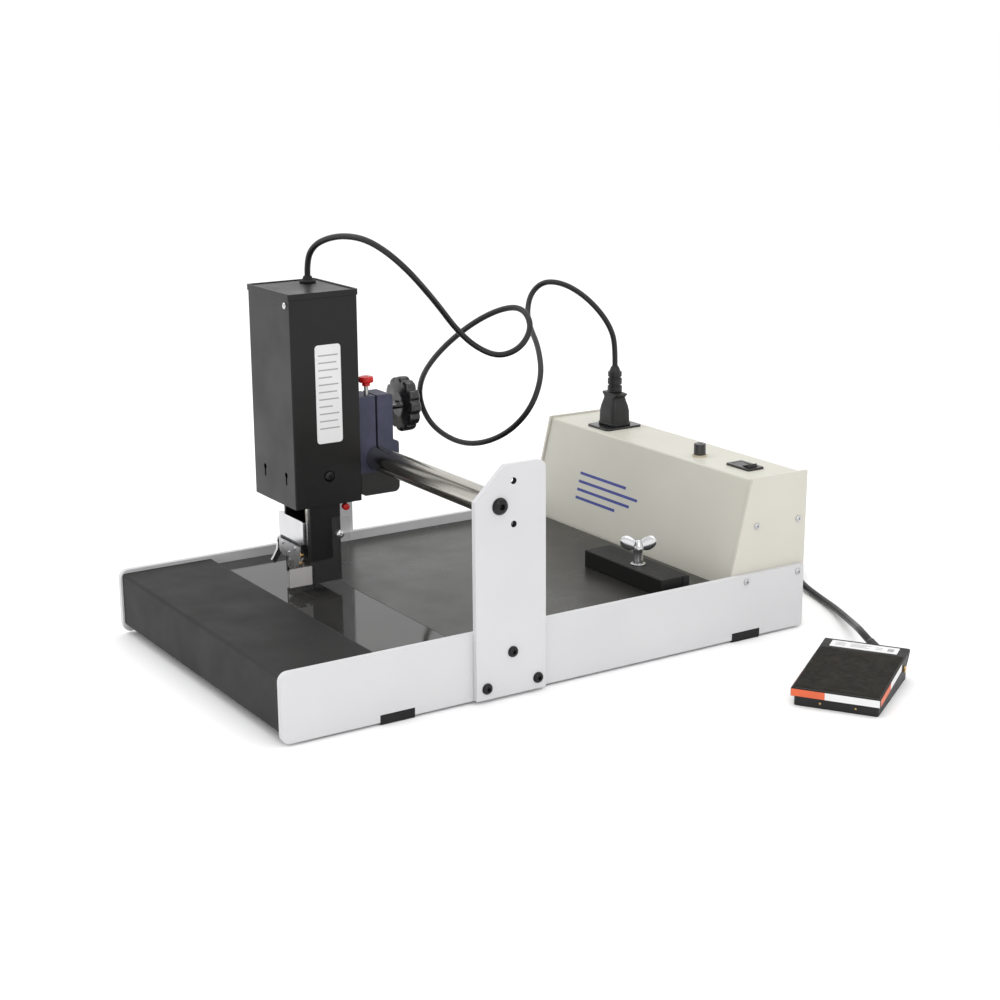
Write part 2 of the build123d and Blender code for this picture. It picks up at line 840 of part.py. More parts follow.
guard_bottom = 66.0
guard_right = -28.0
guard_sheet = 2.0
with BuildPart() as finger_guard:
    with BuildSketch(across(guard_right - guard_sheet)) as outline:
        with BuildLine():
            Polyline(
                (116, guard_bottom),
                (188, guard_bottom),
                (188, 137),
                (168, 137),
                (168, 94.5),
                (116, 94.5),
                close=True,
            )
        make_face()
        fillet(outline.vertices(), 2)
        with Locations((176.4, 119.2)):
            Circle(2.1, mode=Mode.SUBTRACT)
    extrude(amount=guard_sheet)
save(finger_guard, "finger_guard")

with BuildPart() as head_screws:
    with BuildSketch(facing(head_front)):
        with Locations((-35.4, 357.6)):
            Circle(3.4)
    extrude(amount=2)
    with BuildSketch(across(head_right - 1.2)):
        with Locations((165.0, 182.0)):
            Circle(5.2)
            RegularPolygon(2.3, 6, mode=Mode.SUBTRACT)
    extrude(amount=1.6)
    for start, radius, length in (
        (leg_right - 6.0, 2.0, 11.0),
        (leg_right, 4.5, 3.0),
        (guard_right, 4.3, 2.6),
    ):
        with BuildSketch(across(start)):
            with Locations((176.4, 119.2)):
                Circle(radius)
        extrude(amount=length)
save(head_screws, "head_screws")

# ---------------------------------------------------------------- numbering unit
lever_y = 142.3
lever_z = 103.0
unit_left = leg_left + 4.4
unit_right = leg_right - 5.4
unit_front = leg_front - 0.4
unit_back = leg_back - 6.4
wheels_left = (unit_left + unit_right) / 2 - wheel_pitch * wheel_count / 2
with BuildPart() as numbering_frame:
    with BuildSketch(level(100.0)):
        rect(unit_left, unit_right, unit_front, unit_back)
    extrude(amount=plunger_bottom - 100.0)
    wheels_right = wheels_left + wheel_pitch * wheel_count + 0.4
    for x1, x2 in ((unit_left, wheels_left - 1.0), (wheels_right, unit_right)):
        with BuildSketch(across(x1)) as cheek:
            rect(unit_front, unit_back, 72.5, 100.0)
            fillet(cheek.vertices().group_by(Axis.Y)[0], 4)
        extrude(amount=x2 - x1)
    with BuildSketch(across(unit_left + 2)):
        with Locations((wheel_y, wheel_z)):
            Circle(3.0)
    extrude(amount=unit_right - unit_left - 4)
    with BuildSketch(facing(unit_front)) as shroud:
        with BuildLine():
            Polyline(
                (-95, 98),
                (-95, 134.5),
                (-39.8, 134.5),
                (-39.8, 110),
                (-50, 106),
                (-84, 106),
                (-88, 98),
                close=True,
            )
        make_face()
        fillet(shroud.vertices().group_by(Axis.Z)[-1], 2)
    extrude(amount=4.5)
    with BuildSketch(across(-96)):
        with Locations((lever_y, lever_z)):
            Circle(1.25)
    extrude(amount=6, mode=Mode.SUBTRACT)
save(numbering_frame, "numbering_frame")

for index in range(wheel_count):
    with BuildPart() as number_wheel:
        with BuildSketch(across(wheels_left + index * wheel_pitch)):
            with Locations((wheel_y, wheel_z)):
                RegularPolygon(wheel_radius, 10, rotation=18)
                Circle(3.05, mode=Mode.SUBTRACT)
        extrude(amount=wheel_width)
    save(number_wheel, f"number_wheel_{index + 1}")

with BuildPart() as numbering_lever:
    with BuildSketch(across(-98.6)) as outline:
        with BuildLine():
            Polyline(
                (lever_y - 3.5, lever_z + 2),
                (lever_y + 3.5, lever_z + 2),
                (lever_y + 1, lever_z - 12),
                (lever_y - 6, lever_z - 22),
                (lever_y - 11, lever_z - 20),
                (lever_y - 5, lever_z - 10),
                close=True,
            )
        make_face()
        with Locations((lever_y, lever_z)):
            Circle(4.2)
        with Locations((lever_y - 8.5, lever_z - 21)):
            Circle(3.0)
    extrude(amount=3.2)
    with BuildSketch(across(-95.4)):
        with Locations((lever_y, lever_z)):
            Circle(1.2)
    extrude(amount=5.0)
save(numbering_lever, "numbering_lever")

# ---------------------------------------------------------------- foot switch
pedal_frame = foot_switch(0)
pedal_gland = Plane(
    origin=pedal_frame.from_local_coords((14, 57.5, 20.5)),
    x_dir=pedal_frame.x_dir,
    z_dir=pedal_frame.y_dir,
)
pedal_boot = Plane(
    origin=pedal_frame.from_local_coords((14, 60.6, 20.5)),
    x_dir=pedal_frame.z_dir,
    z_dir=pedal_frame.y_dir * 0.72 - pedal_frame.x_dir * 0.62 + pedal_frame.z_dir * 0.2,
)
with BuildPart() as pedal_base:
    with BuildSketch(foot_switch_side(-pedal_half + 2.5)):
        with BuildLine():
            Polyline(
                (-56.6, 0),
                (57.5, 0),
                (57.5, 27.2),
                (44, 25.4),
                (26, 22.2),
                (-50, 11.2),
                (-56.6, 10),
                close=True,
            )
        make_face()
    extrude(amount=2 * (pedal_half - 2.5))
    chamfer(pedal_base.edges().filter_by(Axis.Z), 1.5)
    with BuildSketch(foot_switch(2.5)):
        rect(-36, 36, -50, 54)
    extrude(amount=30, mode=Mode.SUBTRACT)
    with BuildSketch(foot_switch_side(-60)):
        with Locations((pedal_pin_y, pedal_pin_z)):
            Circle(2.05)
    extrude(amount=120, mode=Mode.SUBTRACT)
    with BuildSketch(pedal_gland):
        Circle(4.6)
    extrude(amount=-6, mode=Mode.SUBTRACT)
save(pedal_base, "pedal_base")

slope = (pedal_back_top - pedal_front_top) / (pedal_back_y - pedal_front_y)
with BuildPart() as pedal_treadle:
    with BuildSketch(foot_switch_side(-pedal_half)):
        with BuildLine():
            Polyline(
                (pedal_front_y, pedal_front_top),
                (pedal_back_y, pedal_back_top),
                (pedal_back_y, pedal_back_top - 2.2),
                (pedal_pin_y + 7, pedal_pin_z - 5),
                (pedal_pin_y - 7, pedal_pin_z - 5),
                (pedal_pin_y - 12, 14.8),
                (pedal_front_y, pedal_front_top - 8.4),
                close=True,
            )
        make_face()
    extrude(amount=2 * pedal_half)
    with BuildSketch(foot_switch_side(-pedal_half + 2.0)):
        with BuildLine():
            Polyline(
                (pedal_front_y + 2, pedal_front_top + 2 * slope - 2.2),
                (pedal_back_y + 1, pedal_back_top + slope - 2.2),
                (pedal_back_y + 1, -5),
                (pedal_front_y + 2, -5),
                close=True,
            )
        make_face()
    extrude(amount=2 * (pedal_half - 2.0), mode=Mode.SUBTRACT)
    with BuildSketch(foot_switch_side(-60)):
        with Locations((pedal_pin_y, pedal_pin_z)):
            Circle(2.05)
    extrude(amount=120, mode=Mode.SUBTRACT)
save(pedal_treadle, "pedal_treadle")

with BuildPart() as pedal_pin:
    with BuildSketch(foot_switch_side(-pedal_half - 2)):
        with Locations((pedal_pin_y, pedal_pin_z)):
            Circle(2.0)
    extrude(amount=2 * (pedal_half + 2))
    for start, length in ((pedal_half + 0.2, 1.8), (-pedal_half - 0.2, -1.8)):
        with BuildSketch(foot_switch_side(start)):
            with Locations((pedal_pin_y, pedal_pin_z)):
                Circle(3.4)
        extrude(amount=length)
save(pedal_pin, "pedal_pin")

with BuildPart() as pedal_microswitch:
    with BuildSketch(foot_switch(2.5)):
        rect(-14, 14, -20, -10)
    extrude(amount=9)
    with BuildSketch(foot_switch(11.5)):
        with Locations((6, -15)):
            Circle(1.5)
    extrude(amount=1.4)
save(pedal_microswitch, "pedal_microswitch")

# ---------------------------------------------------------------- plug, glands and cords
plug_x, plug_y = outlet_at
plug_base = box_top + 2.5
with BuildPart() as head_plug:
    with BuildSketch(level(plug_base + 0.1)):
        with Locations(outlet_at):
            RectangleRounded(29, 25, 6)
    extrude(amount=20)
    with BuildSketch(level(plug_base + 20.1)):
        with Locations(outlet_at):
            RectangleRounded(29, 25, 6)
    extrude(amount=16, taper=11)
    with BuildSketch(level(plug_base + 32)):
        with Locations(outlet_at):
            RectangleRounded(31, 14, 3)
    extrude(amount=4.1)
    with BuildSketch(level(plug_base + 36.1)):
        with Locations(outlet_at):
            Circle(8)
    extrude(amount=32.4, taper=4)
    with BuildSketch(level(plug_base + 0.1)):
        with Locations((plug_x - 6.35, plug_y + 3), (plug_x + 6.35, plug_y + 3)):
            Rectangle(1.5, 6.4)
        with Locations((plug_x, plug_y - 8.9)):
            Circle(2.4)
    extrude(amount=-16)
save(head_plug, "head_plug")
plug_top = plug_base + 68.5

gland_x, gland_z = gland_at
gland_end = box_back + cover_sheet + 28
boot_length = 24.0
with BuildPart() as cord_bushings:
    with BuildSketch(facing(box_back + cover_sheet)):
        with Locations(gland_at):
            Circle(8.5)
    extrude(amount=-4)
    with BuildSketch(facing(box_back + cover_sheet + 4)):
        with Locations(gland_at):
            Circle(6.6)
    extrude(amount=-24, taper=4.5)
    with BuildSketch(facing(box_back + cover_sheet)):
        with Locations(gland_at):
            Circle(6.1)
    extrude(amount=6)
    with BuildSketch(pedal_gland):
        Circle(5.6)
    extrude(amount=4.5)
    with BuildSketch(pedal_boot):
        Circle(5.3)
    extrude(amount=boot_length, taper=2.2)
    with BuildSketch(pedal_gland):
        Circle(4.5)
    extrude(amount=-5)
save(cord_bushings, "cord_bushings")

head_route = [
    (-98, 184, grommet_top),
    (-98, 184, 393),
    (-86, 187, 408),
    (-63, 192, 417),
    (-37, 198, 421),
    (-11, 206, 419),
    (8, 218, 408),
    (11, 238, 390),
    (4, 260, 370),
    (-10, 287, 346),
    (-23, 315, 318),
    (-22, 338, 297),
    (-6, 357, 287),
    (10, 375, 298),
    (8, 389, 320),
    (-16, 391, 336),
    (-50, 383, 329),
    (-93, 371, 306),
    (-145, 364, 270),
    (-187, 366, 234),
    (-203, 374, 202),
    (-194, 388, 171),
    (-151, 404, 158),
    (-101, 420, 175),
    (-69, 436, 208),
    (-71, 454, 244),
    (-106, 473, 271),
    (-150, 490, 287),
    (-172, 501, 301),
    (-179, 511, 320),
    (-168, 521, 334),
    (-145, 532, 334),
    (-124, 546, 322),
    (-110, 562, 301),
    (-105, 574, 279),
    (-105, 578, 259),
    (-105, 578, plug_top),
]
head_cord = cord_tube(at_machine(head_route), head_cord_radius, "head cord")
save(head_cord, "head_cord")

cord_floor = pedal_cord_radius + 0.1
coil_inner = 34.8
coil_outer = 50.2
coil_top = 22.6
lead_out_route = [
    (gland_x, gland_end, gland_z),
    (gland_x, gland_end + 13, gland_z),
    (gland_x, gland_end + 27, gland_z - 4.5),
    (gland_x, gland_end + 42, 19.0),
]
pedal_cord_lead = cord_tube(at_machine(lead_out_route), pedal_cord_radius, "pedal cord, gland to coil")
save(pedal_cord_lead, "pedal_cord_lead")

with BuildPart() as pedal_cord_coil:
    with BuildSketch(Plane(
        origin=(x_mid + coil_x, y_front + coil_y, 0),
        x_dir=(1, 0, 0),
        z_dir=(0, -1, 0),
    )) as ring:
        rect(coil_inner, coil_outer, 0.1, coil_top)
        fillet(ring.vertices(), 3)
    revolve(axis=Axis((x_mid + coil_x, y_front + coil_y, 0), (0, 0, 1)))
save(pedal_cord_coil, "pedal_cord_coil")

boot_end = pedal_boot.from_local_coords((0, 0, boot_length))
approach = pedal_boot.from_local_coords((0, 0, 2 * boot_length))
pedal_route = at_machine([
    (55.5, 723.8, 11.4),
    (72, 707, 9),
    (98, 696.5, 5.5),
    (137, 685.5, cord_floor),
    (180, 669, cord_floor + 2),
    (220, 648, cord_floor + 6),
    (262, 621, 18),
]) + [tuple(approach), tuple(boot_end)]
pedal_cord = cord_tube(pedal_route, pedal_cord_radius, "pedal cord, coil to foot switch")
save(pedal_cord, "pedal_cord")
print("foot switch end of the cord", approach, boot_end)
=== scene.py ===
"""The looks of the table-top numbering press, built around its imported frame."""

from math import cos, pi, radians, sin, sqrt, tau

import bmesh
import bpy
from mathutils import Matrix, Vector


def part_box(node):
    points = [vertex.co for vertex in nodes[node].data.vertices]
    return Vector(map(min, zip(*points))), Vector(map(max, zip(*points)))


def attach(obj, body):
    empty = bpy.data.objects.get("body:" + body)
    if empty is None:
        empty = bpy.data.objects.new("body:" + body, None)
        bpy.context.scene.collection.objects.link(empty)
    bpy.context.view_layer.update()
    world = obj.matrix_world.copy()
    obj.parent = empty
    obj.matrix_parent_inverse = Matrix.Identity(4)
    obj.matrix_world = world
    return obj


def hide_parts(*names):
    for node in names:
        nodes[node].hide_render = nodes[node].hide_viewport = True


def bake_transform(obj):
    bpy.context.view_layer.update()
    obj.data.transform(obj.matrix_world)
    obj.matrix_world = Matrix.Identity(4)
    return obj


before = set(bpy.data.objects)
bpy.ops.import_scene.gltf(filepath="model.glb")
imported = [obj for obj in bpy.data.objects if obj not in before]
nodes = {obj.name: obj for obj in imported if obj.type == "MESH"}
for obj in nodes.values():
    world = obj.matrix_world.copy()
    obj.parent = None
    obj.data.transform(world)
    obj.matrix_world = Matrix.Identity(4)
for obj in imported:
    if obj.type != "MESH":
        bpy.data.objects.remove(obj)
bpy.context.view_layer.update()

# ---------------------------------------------------------------- places taken from the frame
RAIL_OUTER = 191.5
X_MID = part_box("side_rail_right")[1].x - RAIL_OUTER / 1000
Y_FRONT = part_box("front_cover")[0].y


def at(x, y, z):
    """A place counted in millimetres from the centre line, the front panel and the bench."""
    return Vector((X_MID + x / 1000, Y_FRONT + y / 1000, z / 1000))


PEDAL_AT = (364.2, 519.0)
PEDAL_TURN = radians(32.7)


def pedal_place(across, along, height):
    """A place on the foot switch, in its own turned directions."""
    c, s = cos(PEDAL_TURN), sin(PEDAL_TURN)
    return at(PEDAL_AT[0] + across * c - along * s, PEDAL_AT[1] + across * s + along * c, height)


def facing(origin, z_dir, x_dir=(0, 0, 1)):
    """A placing matrix whose local z looks along z_dir and whose local x is nearest x_dir."""
    z = Vector(z_dir).normalized()
    x = Vector(x_dir)
    x = (x - z * x.dot(z)).normalized()
    y = z.cross(x)
    m = Matrix((x, y, z)).transposed().to_4x4()
    m.translation = Vector(origin)
    return m


# ---------------------------------------------------------------- camera and light
CAMERA_AZIMUTH = radians(57.433)
CAMERA_ELEVATION = radians(14.79)
CAMERA_ROLL = radians(-0.3753)
CAMERA_AT = (1601.46, -670.28, 637.08)
CAMERA_LENS = 66.935


def make_camera():
    back = Vector((
        sin(CAMERA_AZIMUTH) * cos(CAMERA_ELEVATION),
        -cos(CAMERA_AZIMUTH) * cos(CAMERA_ELEVATION),
        sin(CAMERA_ELEVATION),
    ))
    right = Vector((0, 0, 1)).cross(back).normalized()
    up = back.cross(right)
    c, s = cos(CAMERA_ROLL), sin(CAMERA_ROLL)
    data = bpy.data.cameras.new("camera")
    data.lens = CAMERA_LENS
    data.sensor_width = 36
    data.clip_end = 50
    camera = bpy.data.objects.new("camera", data)
    place = Matrix((c * right + s * up, c * up - s * right, back)).transposed().to_4x4()
    place.translation = at(*CAMERA_AT)
    camera.matrix_world = place
    bpy.context.scene.collection.objects.link(camera)
    bpy.context.scene.camera = camera


def area_light(name, position, target, size, power, tint=(1, 1, 1)):
    data = bpy.data.lights.new(name, "AREA")
    data.shape = "RECTANGLE"
    data.size, data.size_y = size
    data.energy = power
    data.color = tint
    lamp = bpy.data.objects.new(name, data)
    lamp.matrix_world = facing(position, Vector(position) - Vector(target), (1, 0, 0))
    bpy.context.scene.collection.objects.link(lamp)


def make_light():
    world = bpy.data.worlds.new("studio")
    world.use_nodes = True
    backdrop = world.node_tree.nodes["Background"]
    backdrop.inputs["Color"].default_value = (1.0, 1.0, 1.0, 1)
    backdrop.inputs["Strength"].default_value = 1.06
    bpy.context.scene.world = world
    area_light("key", (-1.3, -1.6, 2.4), (0, 0, 0.1), (1.8, 1.8), 16)
    area_light("side", (2.6, -0.6, 1.7), (0, 0, 0.1), (1.6, 1.4), 12)
    area_light("top", (0.1, 0.5, 2.6), (0, 0, 0.1), (1.8, 1.8), 14)
    bpy.context.scene.view_settings.view_transform = "Standard"


make_camera()
make_light()


# ---------------------------------------------------------------- materials
def finish(name, color, rough=0.5, metal=0.0, coat=0.0, tone=0.06, tone_size=0.12, grain=0.0,
           grain_size=0.0008, rough_spread=0.06, edge=0.0006, edge_wear=0.0, stretch=None,
           alpha=1.0, sheen=0.5):
    """A surface with drifting tone, uneven roughness, a fine grain and softened edges.

    Sizes are in metres. stretch draws the grain out along one axis, as grinding does, and
    sheen is the shader's specular level.
    """
    m = bpy.data.materials.new(name)
    m.use_nodes = True
    tree = m.node_tree
    shader = tree.nodes["Principled BSDF"]
    link = tree.links.new
    place = tree.nodes.new("ShaderNodeTexCoord").outputs["Object"]

    def noise(size, detail=3.0, scale=(1, 1, 1)):
        mapping = tree.nodes.new("ShaderNodeMapping")
        mapping.inputs["Scale"].default_value = scale
        link(place, mapping.inputs["Vector"])
        node = tree.nodes.new("ShaderNodeTexNoise")
        node.inputs["Scale"].default_value = 1 / size
        node.inputs["Detail"].default_value = detail
        link(mapping.outputs["Vector"], node.inputs["Vector"])
        return node.outputs["Fac"]

    def ramp(value, low, high, from_low=0.3, from_high=0.7):
        node = tree.nodes.new("ShaderNodeMapRange")
        node.inputs["From Min"].default_value = from_low
        node.inputs["From Max"].default_value = from_high
        node.inputs["To Min"].default_value = low
        node.inputs["To Max"].default_value = high
        link(value, node.inputs["Value"])
        return node.outputs["Result"]

    def mix(amount, first, other):
        node = tree.nodes.new("ShaderNodeMix")
        node.data_type = "RGBA"
        link(amount, node.inputs["Factor"])
        for socket, value in ((node.inputs["A"], first), (node.inputs["B"], other)):
            if isinstance(value, bpy.types.NodeSocket):
                link(value, socket)
            else:
                socket.default_value = (*value, 1)
        return node.outputs["Result"]

    dark = tuple(max(0.0, c * (1 - tone)) for c in color)
    light = tuple(min(1.0, c * (1 + tone)) for c in color)
    drift = noise(tone_size, 4.0)
    base = mix(ramp(drift, 0, 1), dark, light)
    normal = None
    if edge:
        bevel = tree.nodes.new("ShaderNodeBevel")
        bevel.samples = 4
        bevel.inputs["Radius"].default_value = edge
        normal = bevel.outputs["Normal"]
        if edge_wear:
            geometry = tree.nodes.new("ShaderNodeNewGeometry")
            dot = tree.nodes.new("ShaderNodeVectorMath")
            dot.operation = "DOT_PRODUCT"
            link(normal, dot.inputs[0])
            link(geometry.outputs["Normal"], dot.inputs[1])
            worn = ramp(dot.outputs["Value"], edge_wear, 0, 0.8, 0.99)
            pale = tuple(min(1.0, c * 1.5 + 0.12) for c in color)
            base = mix(worn, base, pale)
    link(base, shader.inputs["Base Color"])
    uneven = noise(tone_size * 0.35, 5.0)
    link(ramp(uneven, max(0.02, rough - rough_spread), rough + rough_spread), shader.inputs["Roughness"])
    if grain:
        bump = tree.nodes.new("ShaderNodeBump")
        bump.inputs["Strength"].default_value = 1.0
        bump.inputs["Distance"].default_value = grain
        link(noise(grain_size, 2.0, stretch or (1, 1, 1)), bump.inputs["Height"])
        if normal:
            link(normal, bump.inputs["Normal"])
        normal = bump.outputs["Normal"]
    if normal:
        link(normal, shader.inputs["Normal"])
    shader.inputs["Metallic"].default_value = metal
    shader.inputs["Specular IOR Level"].default_value = sheen
    shader.inputs["Coat Weight"].default_value = coat
    shader.inputs["Coat Roughness"].default_value = 0.08
    if alpha < 1:
        shader.inputs["Alpha"].default_value = alpha
        shader.inputs["IOR"].default_value = 1.49
    return m


ALONG_X = (0.02, 1, 1)
ALONG_Z = (1, 1, 0.02)

rail_paint = finish("rail_paint", (0.58, 0.58, 0.59), 0.55, tone=0.03, grain=0.00004, grain_size=0.0011,
                    sheen=0.3)
cover_paint = finish("cover_paint", (0.018, 0.018, 0.0175), 0.60, tone=0.12, grain=0.00003, edge=0.0014,
                     edge_wear=0.12, sheen=0.22)
deck_paint = finish("deck_paint", (0.020, 0.0195, 0.017), 0.30, tone=0.2, grain=0.0000008,
                    grain_size=0.004, rough_spread=0.05, sheen=0.36)
mid_paint = finish("mid_deck_paint", (0.030, 0.029, 0.028), 0.07, tone=0.12, grain=0.000003,
                   grain_size=0.004, rough_spread=0.02, sheen=0.32)
box_paint = finish("box_paint", (0.54, 0.53, 0.465), 0.42, tone=0.04, grain=0.00002, grain_size=0.0012,
                   edge_wear=0.12, sheen=0.35)
end_paint = finish("end_paint", (0.58, 0.56, 0.50), 0.5, tone=0.03, grain=0.00003, grain_size=0.0011,
                   sheen=0.3)
housing_paint = finish("housing_paint", (0.0030, 0.0028, 0.0027), 0.38, tone=0.3, grain=0.000015,
                       grain_size=0.0015, edge=0.0008, edge_wear=0.06, sheen=0.34)
leg_paint = finish("leg_paint", (0.004, 0.004, 0.004), 0.4, tone=0.25, grain=0.00002,
                   edge_wear=0.08, sheen=0.35)
clamp_paint = finish("clamp_paint", (0.040, 0.042, 0.074), 0.55, tone=0.25, tone_size=0.02, grain=0.00010,
                     grain_size=0.0012, edge=0.001, edge_wear=0.15, sheen=0.4)
base_paint = finish("base_paint", (0.024, 0.023, 0.022), 0.5, tone=0.2, grain=0.00003, edge=0.0008,
                    edge_wear=0.15, sheen=0.4)
black_paint = finish("black_paint", (0.006, 0.006, 0.0055), 0.5, tone=0.2, grain=0.00002, edge=0.0008,
                     edge_wear=0.08, sheen=0.25)
ground_steel = finish("ground_steel", (0.50, 0.485, 0.44), 0.22, 1.0, tone=0.05, tone_size=0.03,
                      grain=0.000002, grain_size=0.0012, stretch=ALONG_X, rough_spread=0.02)
tool_steel = finish("tool_steel", (0.30, 0.29, 0.275), 0.32, 1.0, tone=0.2, tone_size=0.01,
                    grain=0.00001, grain_size=0.0006)
zinc = finish("zinc_plate", (0.48, 0.48, 0.46), 0.38, 1.0, tone=0.12, tone_size=0.03, grain=0.00001)
core_steel = finish("core_steel", (0.08, 0.08, 0.085), 0.5, 0.7, tone=0.2, grain=0.00004,
                    stretch=ALONG_Z)
spring_steel = finish("spring_steel", (0.40, 0.40, 0.41), 0.25, 1.0, tone=0.1, edge=0)
chrome = finish("chrome_plate", (0.58, 0.58, 0.59), 0.12, 1.0, tone=0.06, tone_size=0.02, grain=0.000004,
                grain_size=0.002, rough_spread=0.04, edge=0.0004)
satin_chrome = finish("satin_chrome", (0.52, 0.52, 0.53), 0.3, 1.0, tone=0.08, tone_size=0.02,
                      grain=0.000006, grain_size=0.001, edge=0.0004)
black_oxide = finish("black_oxide", (0.010, 0.010, 0.011), 0.3, 0.5, tone=0.2, tone_size=0.01, edge=0.0003)
brass = finish("brass_pin", (0.55, 0.37, 0.16), 0.28, 1.0, tone=0.1, tone_size=0.01)
winding = finish("winding_tape", (0.50, 0.34, 0.11), 0.6, tone=0.15, grain=0.0001, stretch=ALONG_Z)
board_green = finish("board_green", (0.02, 0.13, 0.05), 0.35, tone=0.2, grain=0.00002)
tan = finish("tan_plastic", (0.50, 0.44, 0.32), 0.45, tone=0.08, tone_size=0.01)
gloss_black = finish("black_gloss", (0.010, 0.010, 0.010), 0.2, tone=0.2, tone_size=0.02,
                     grain=0.000008, grain_size=0.003, sheen=0.6)
red_gloss = finish("red_plastic", (0.55, 0.010, 0.008), 0.28, tone=0.1, tone_size=0.01,
                   grain=0.000008, grain_size=0.002, sheen=0.4)
black_rubber = finish("black_rubber", (0.010, 0.010, 0.010), 0.7, tone=0.2, tone_size=0.02, grain=0.00005,
                      sheen=0.3)
grey_rubber = finish("grey_rubber", (0.055, 0.055, 0.058), 0.55, tone=0.12, tone_size=0.01, grain=0.00003,
                     sheen=0.4)
sheath = finish("cord_sheath", (0.006, 0.006, 0.0065), 0.42, tone=0.25, tone_size=0.03, grain=0.00002,
                grain_size=0.0012, edge=0, sheen=0.4)
plug_rubber = finish("plug_moulding", (0.009, 0.009, 0.009), 0.45, tone=0.2, tone_size=0.02,
                     grain=0.00004, grain_size=0.0009, sheen=0.4)
pedal_paint = finish("pedal_paint", (0.010, 0.0095, 0.0095), 0.5, tone=0.2, tone_size=0.03, grain=0.00008,
                     grain_size=0.0012, edge_wear=0.1, sheen=0.35)
tread = finish("tread_rubber", (0.016, 0.014, 0.011), 0.72, tone=0.35, tone_size=0.012, grain=0.0003,
               grain_size=0.0016, edge=0.0008, sheen=0.15)
paper_white = finish("label_white", (0.72, 0.72, 0.72), 0.5, tone=0.03, tone_size=0.03, grain=0.00001,
                     edge=0, sheen=0.3)
label_grey = finish("label_grey", (0.34, 0.34, 0.34), 0.5, tone=0.05, tone_size=0.03, edge=0)
label_orange = finish("label_orange", (0.66, 0.125, 0.05), 0.45, tone=0.08, tone_size=0.02, edge=0, sheen=0.3)
label_blue = finish("label_blue", (0.05, 0.065, 0.27), 0.45, tone=0.08, tone_size=0.02, edge=0, sheen=0.3)
clear_sheet = finish("clear_sheet", (0.20, 0.20, 0.20), 0.05, tone=0.02, tone_size=0.05, alpha=0.06,
                     rough_spread=0.02, edge=0)
frosted_sheet = finish("frosted_sheet", (0.50, 0.48, 0.48), 0.35, tone=0.06, tone_size=0.02, grain=0.00001,
                       alpha=0.75, edge=0.0003)

CAD_FINISH = {
    "side_rail_right": rail_paint, "side_rail_left": rail_paint, "tower_right": rail_paint,
    "tower_left": rail_paint, "rubber_feet": black_rubber, "front_cover": cover_paint,
    "mid_deck": mid_paint, "rear_deck": deck_paint, "deck_braces": zinc, "cross_bar": ground_steel,
    "box_end_right": end_paint, "box_end_left": end_paint, "box_cover": box_paint,
    "box_back_panel": box_paint, "box_floor": zinc, "transformer": core_steel,
    "circuit_board": board_green, "outlet_socket": gloss_black, "mains_inlet": gloss_black,
    "fuse_holder": tan, "switch_bezel": gloss_black, "switch_rocker": gloss_black,
    "stop_bar": black_paint, "stop_clamp_nut": zinc, "clamp_block": clamp_paint,
    "carriage_base": base_paint, "clamp_stud": chrome, "head_housing": housing_paint,
    "head_cap": housing_paint, "head_screws": chrome, "solenoid_coil": winding,
    "solenoid_frame": core_steel, "solenoid_plunger": ground_steel, "return_spring": spring_steel,
    "guide_leg": leg_paint, "numbering_frame": chrome,
    "number_wheel_1": tool_steel, "number_wheel_2": tool_steel, "number_wheel_3": tool_steel,
    "number_wheel_4": tool_steel, "numbering_lever": chrome, "pedal_base": pedal_paint,
    "pedal_pin": brass, "pedal_microswitch": gloss_black,
}
for node_name, material in CAD_FINISH.items():
    nodes[node_name].data.materials.clear()
    nodes[node_name].data.materials.append(material)


# ---------------------------------------------------------------- mesh helpers
def add_object(name, data, body, material, replaced=()):
    """Links a piece in place, gives it its finish and makes it ride on its body."""
    piece = bpy.data.objects.new(name, data)
    bpy.context.scene.collection.objects.link(piece)
    data.materials.append(material)
    if body:
        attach(piece, body)
    if replaced:
        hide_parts(*replaced)
    return piece


def to_mesh(name, shape, sharp=40):
    """A finished mesh from a bmesh, smooth but for its sharp edges."""
    bmesh.ops.remove_doubles(shape, verts=shape.verts, dist=1e-7)
    bmesh.ops.recalc_face_normals(shape, faces=shape.faces)
    mesh = bpy.data.meshes.new(name)
    shape.to_mesh(mesh)
    shape.free()
    mesh.shade_smooth()
    mesh.set_sharp_from_angle(angle=radians(sharp))
    return mesh


def bridge(shape, loops):
    """Joins each loop of vertices to the next with a band of quads."""
    for low, high in zip(loops, loops[1:]):
        for i in range(len(low)):
            j = (i + 1) % len(low)
            shape.faces.new((low[i], low[j], high[j], high[i]))


def add_rings(shape, place, rings, segments=48):
    """Adds a closed skin over rings given as (height, outline) along the place's local z, in mm.

    An outline is a radius or a function from an angle to (x, y).
    """
    loops = []
    for height, outline in rings:
        loop = []
        for i in range(segments):
            angle = tau * i / segments
            if callable(outline):
                x, y = outline(angle)
            else:
                x, y = outline * cos(angle), outline * sin(angle)
            loop.append(shape.verts.new(place @ Vector((x / 1000, y / 1000, height / 1000))))
        loops.append(loop)
    bridge(shape, loops)
    for loop in (loops[0], loops[-1]):
        middle = shape.verts.new(sum((v.co for v in loop), Vector()) / segments)
        for i in range(segments):
            shape.faces.new((loop[i], loop[(i + 1) % segments], middle))


def polar(radius_at):
    """An outline function from a radius that changes with the angle."""
    def outline(angle):
        r = radius_at(angle)
        return r * cos(angle), r * sin(angle)
    return outline


def hexagon(radius):
    """An outline function for a hexagon of that inner radius."""
    return polar(lambda angle: radius / cos((angle % (pi / 3)) - pi / 6))


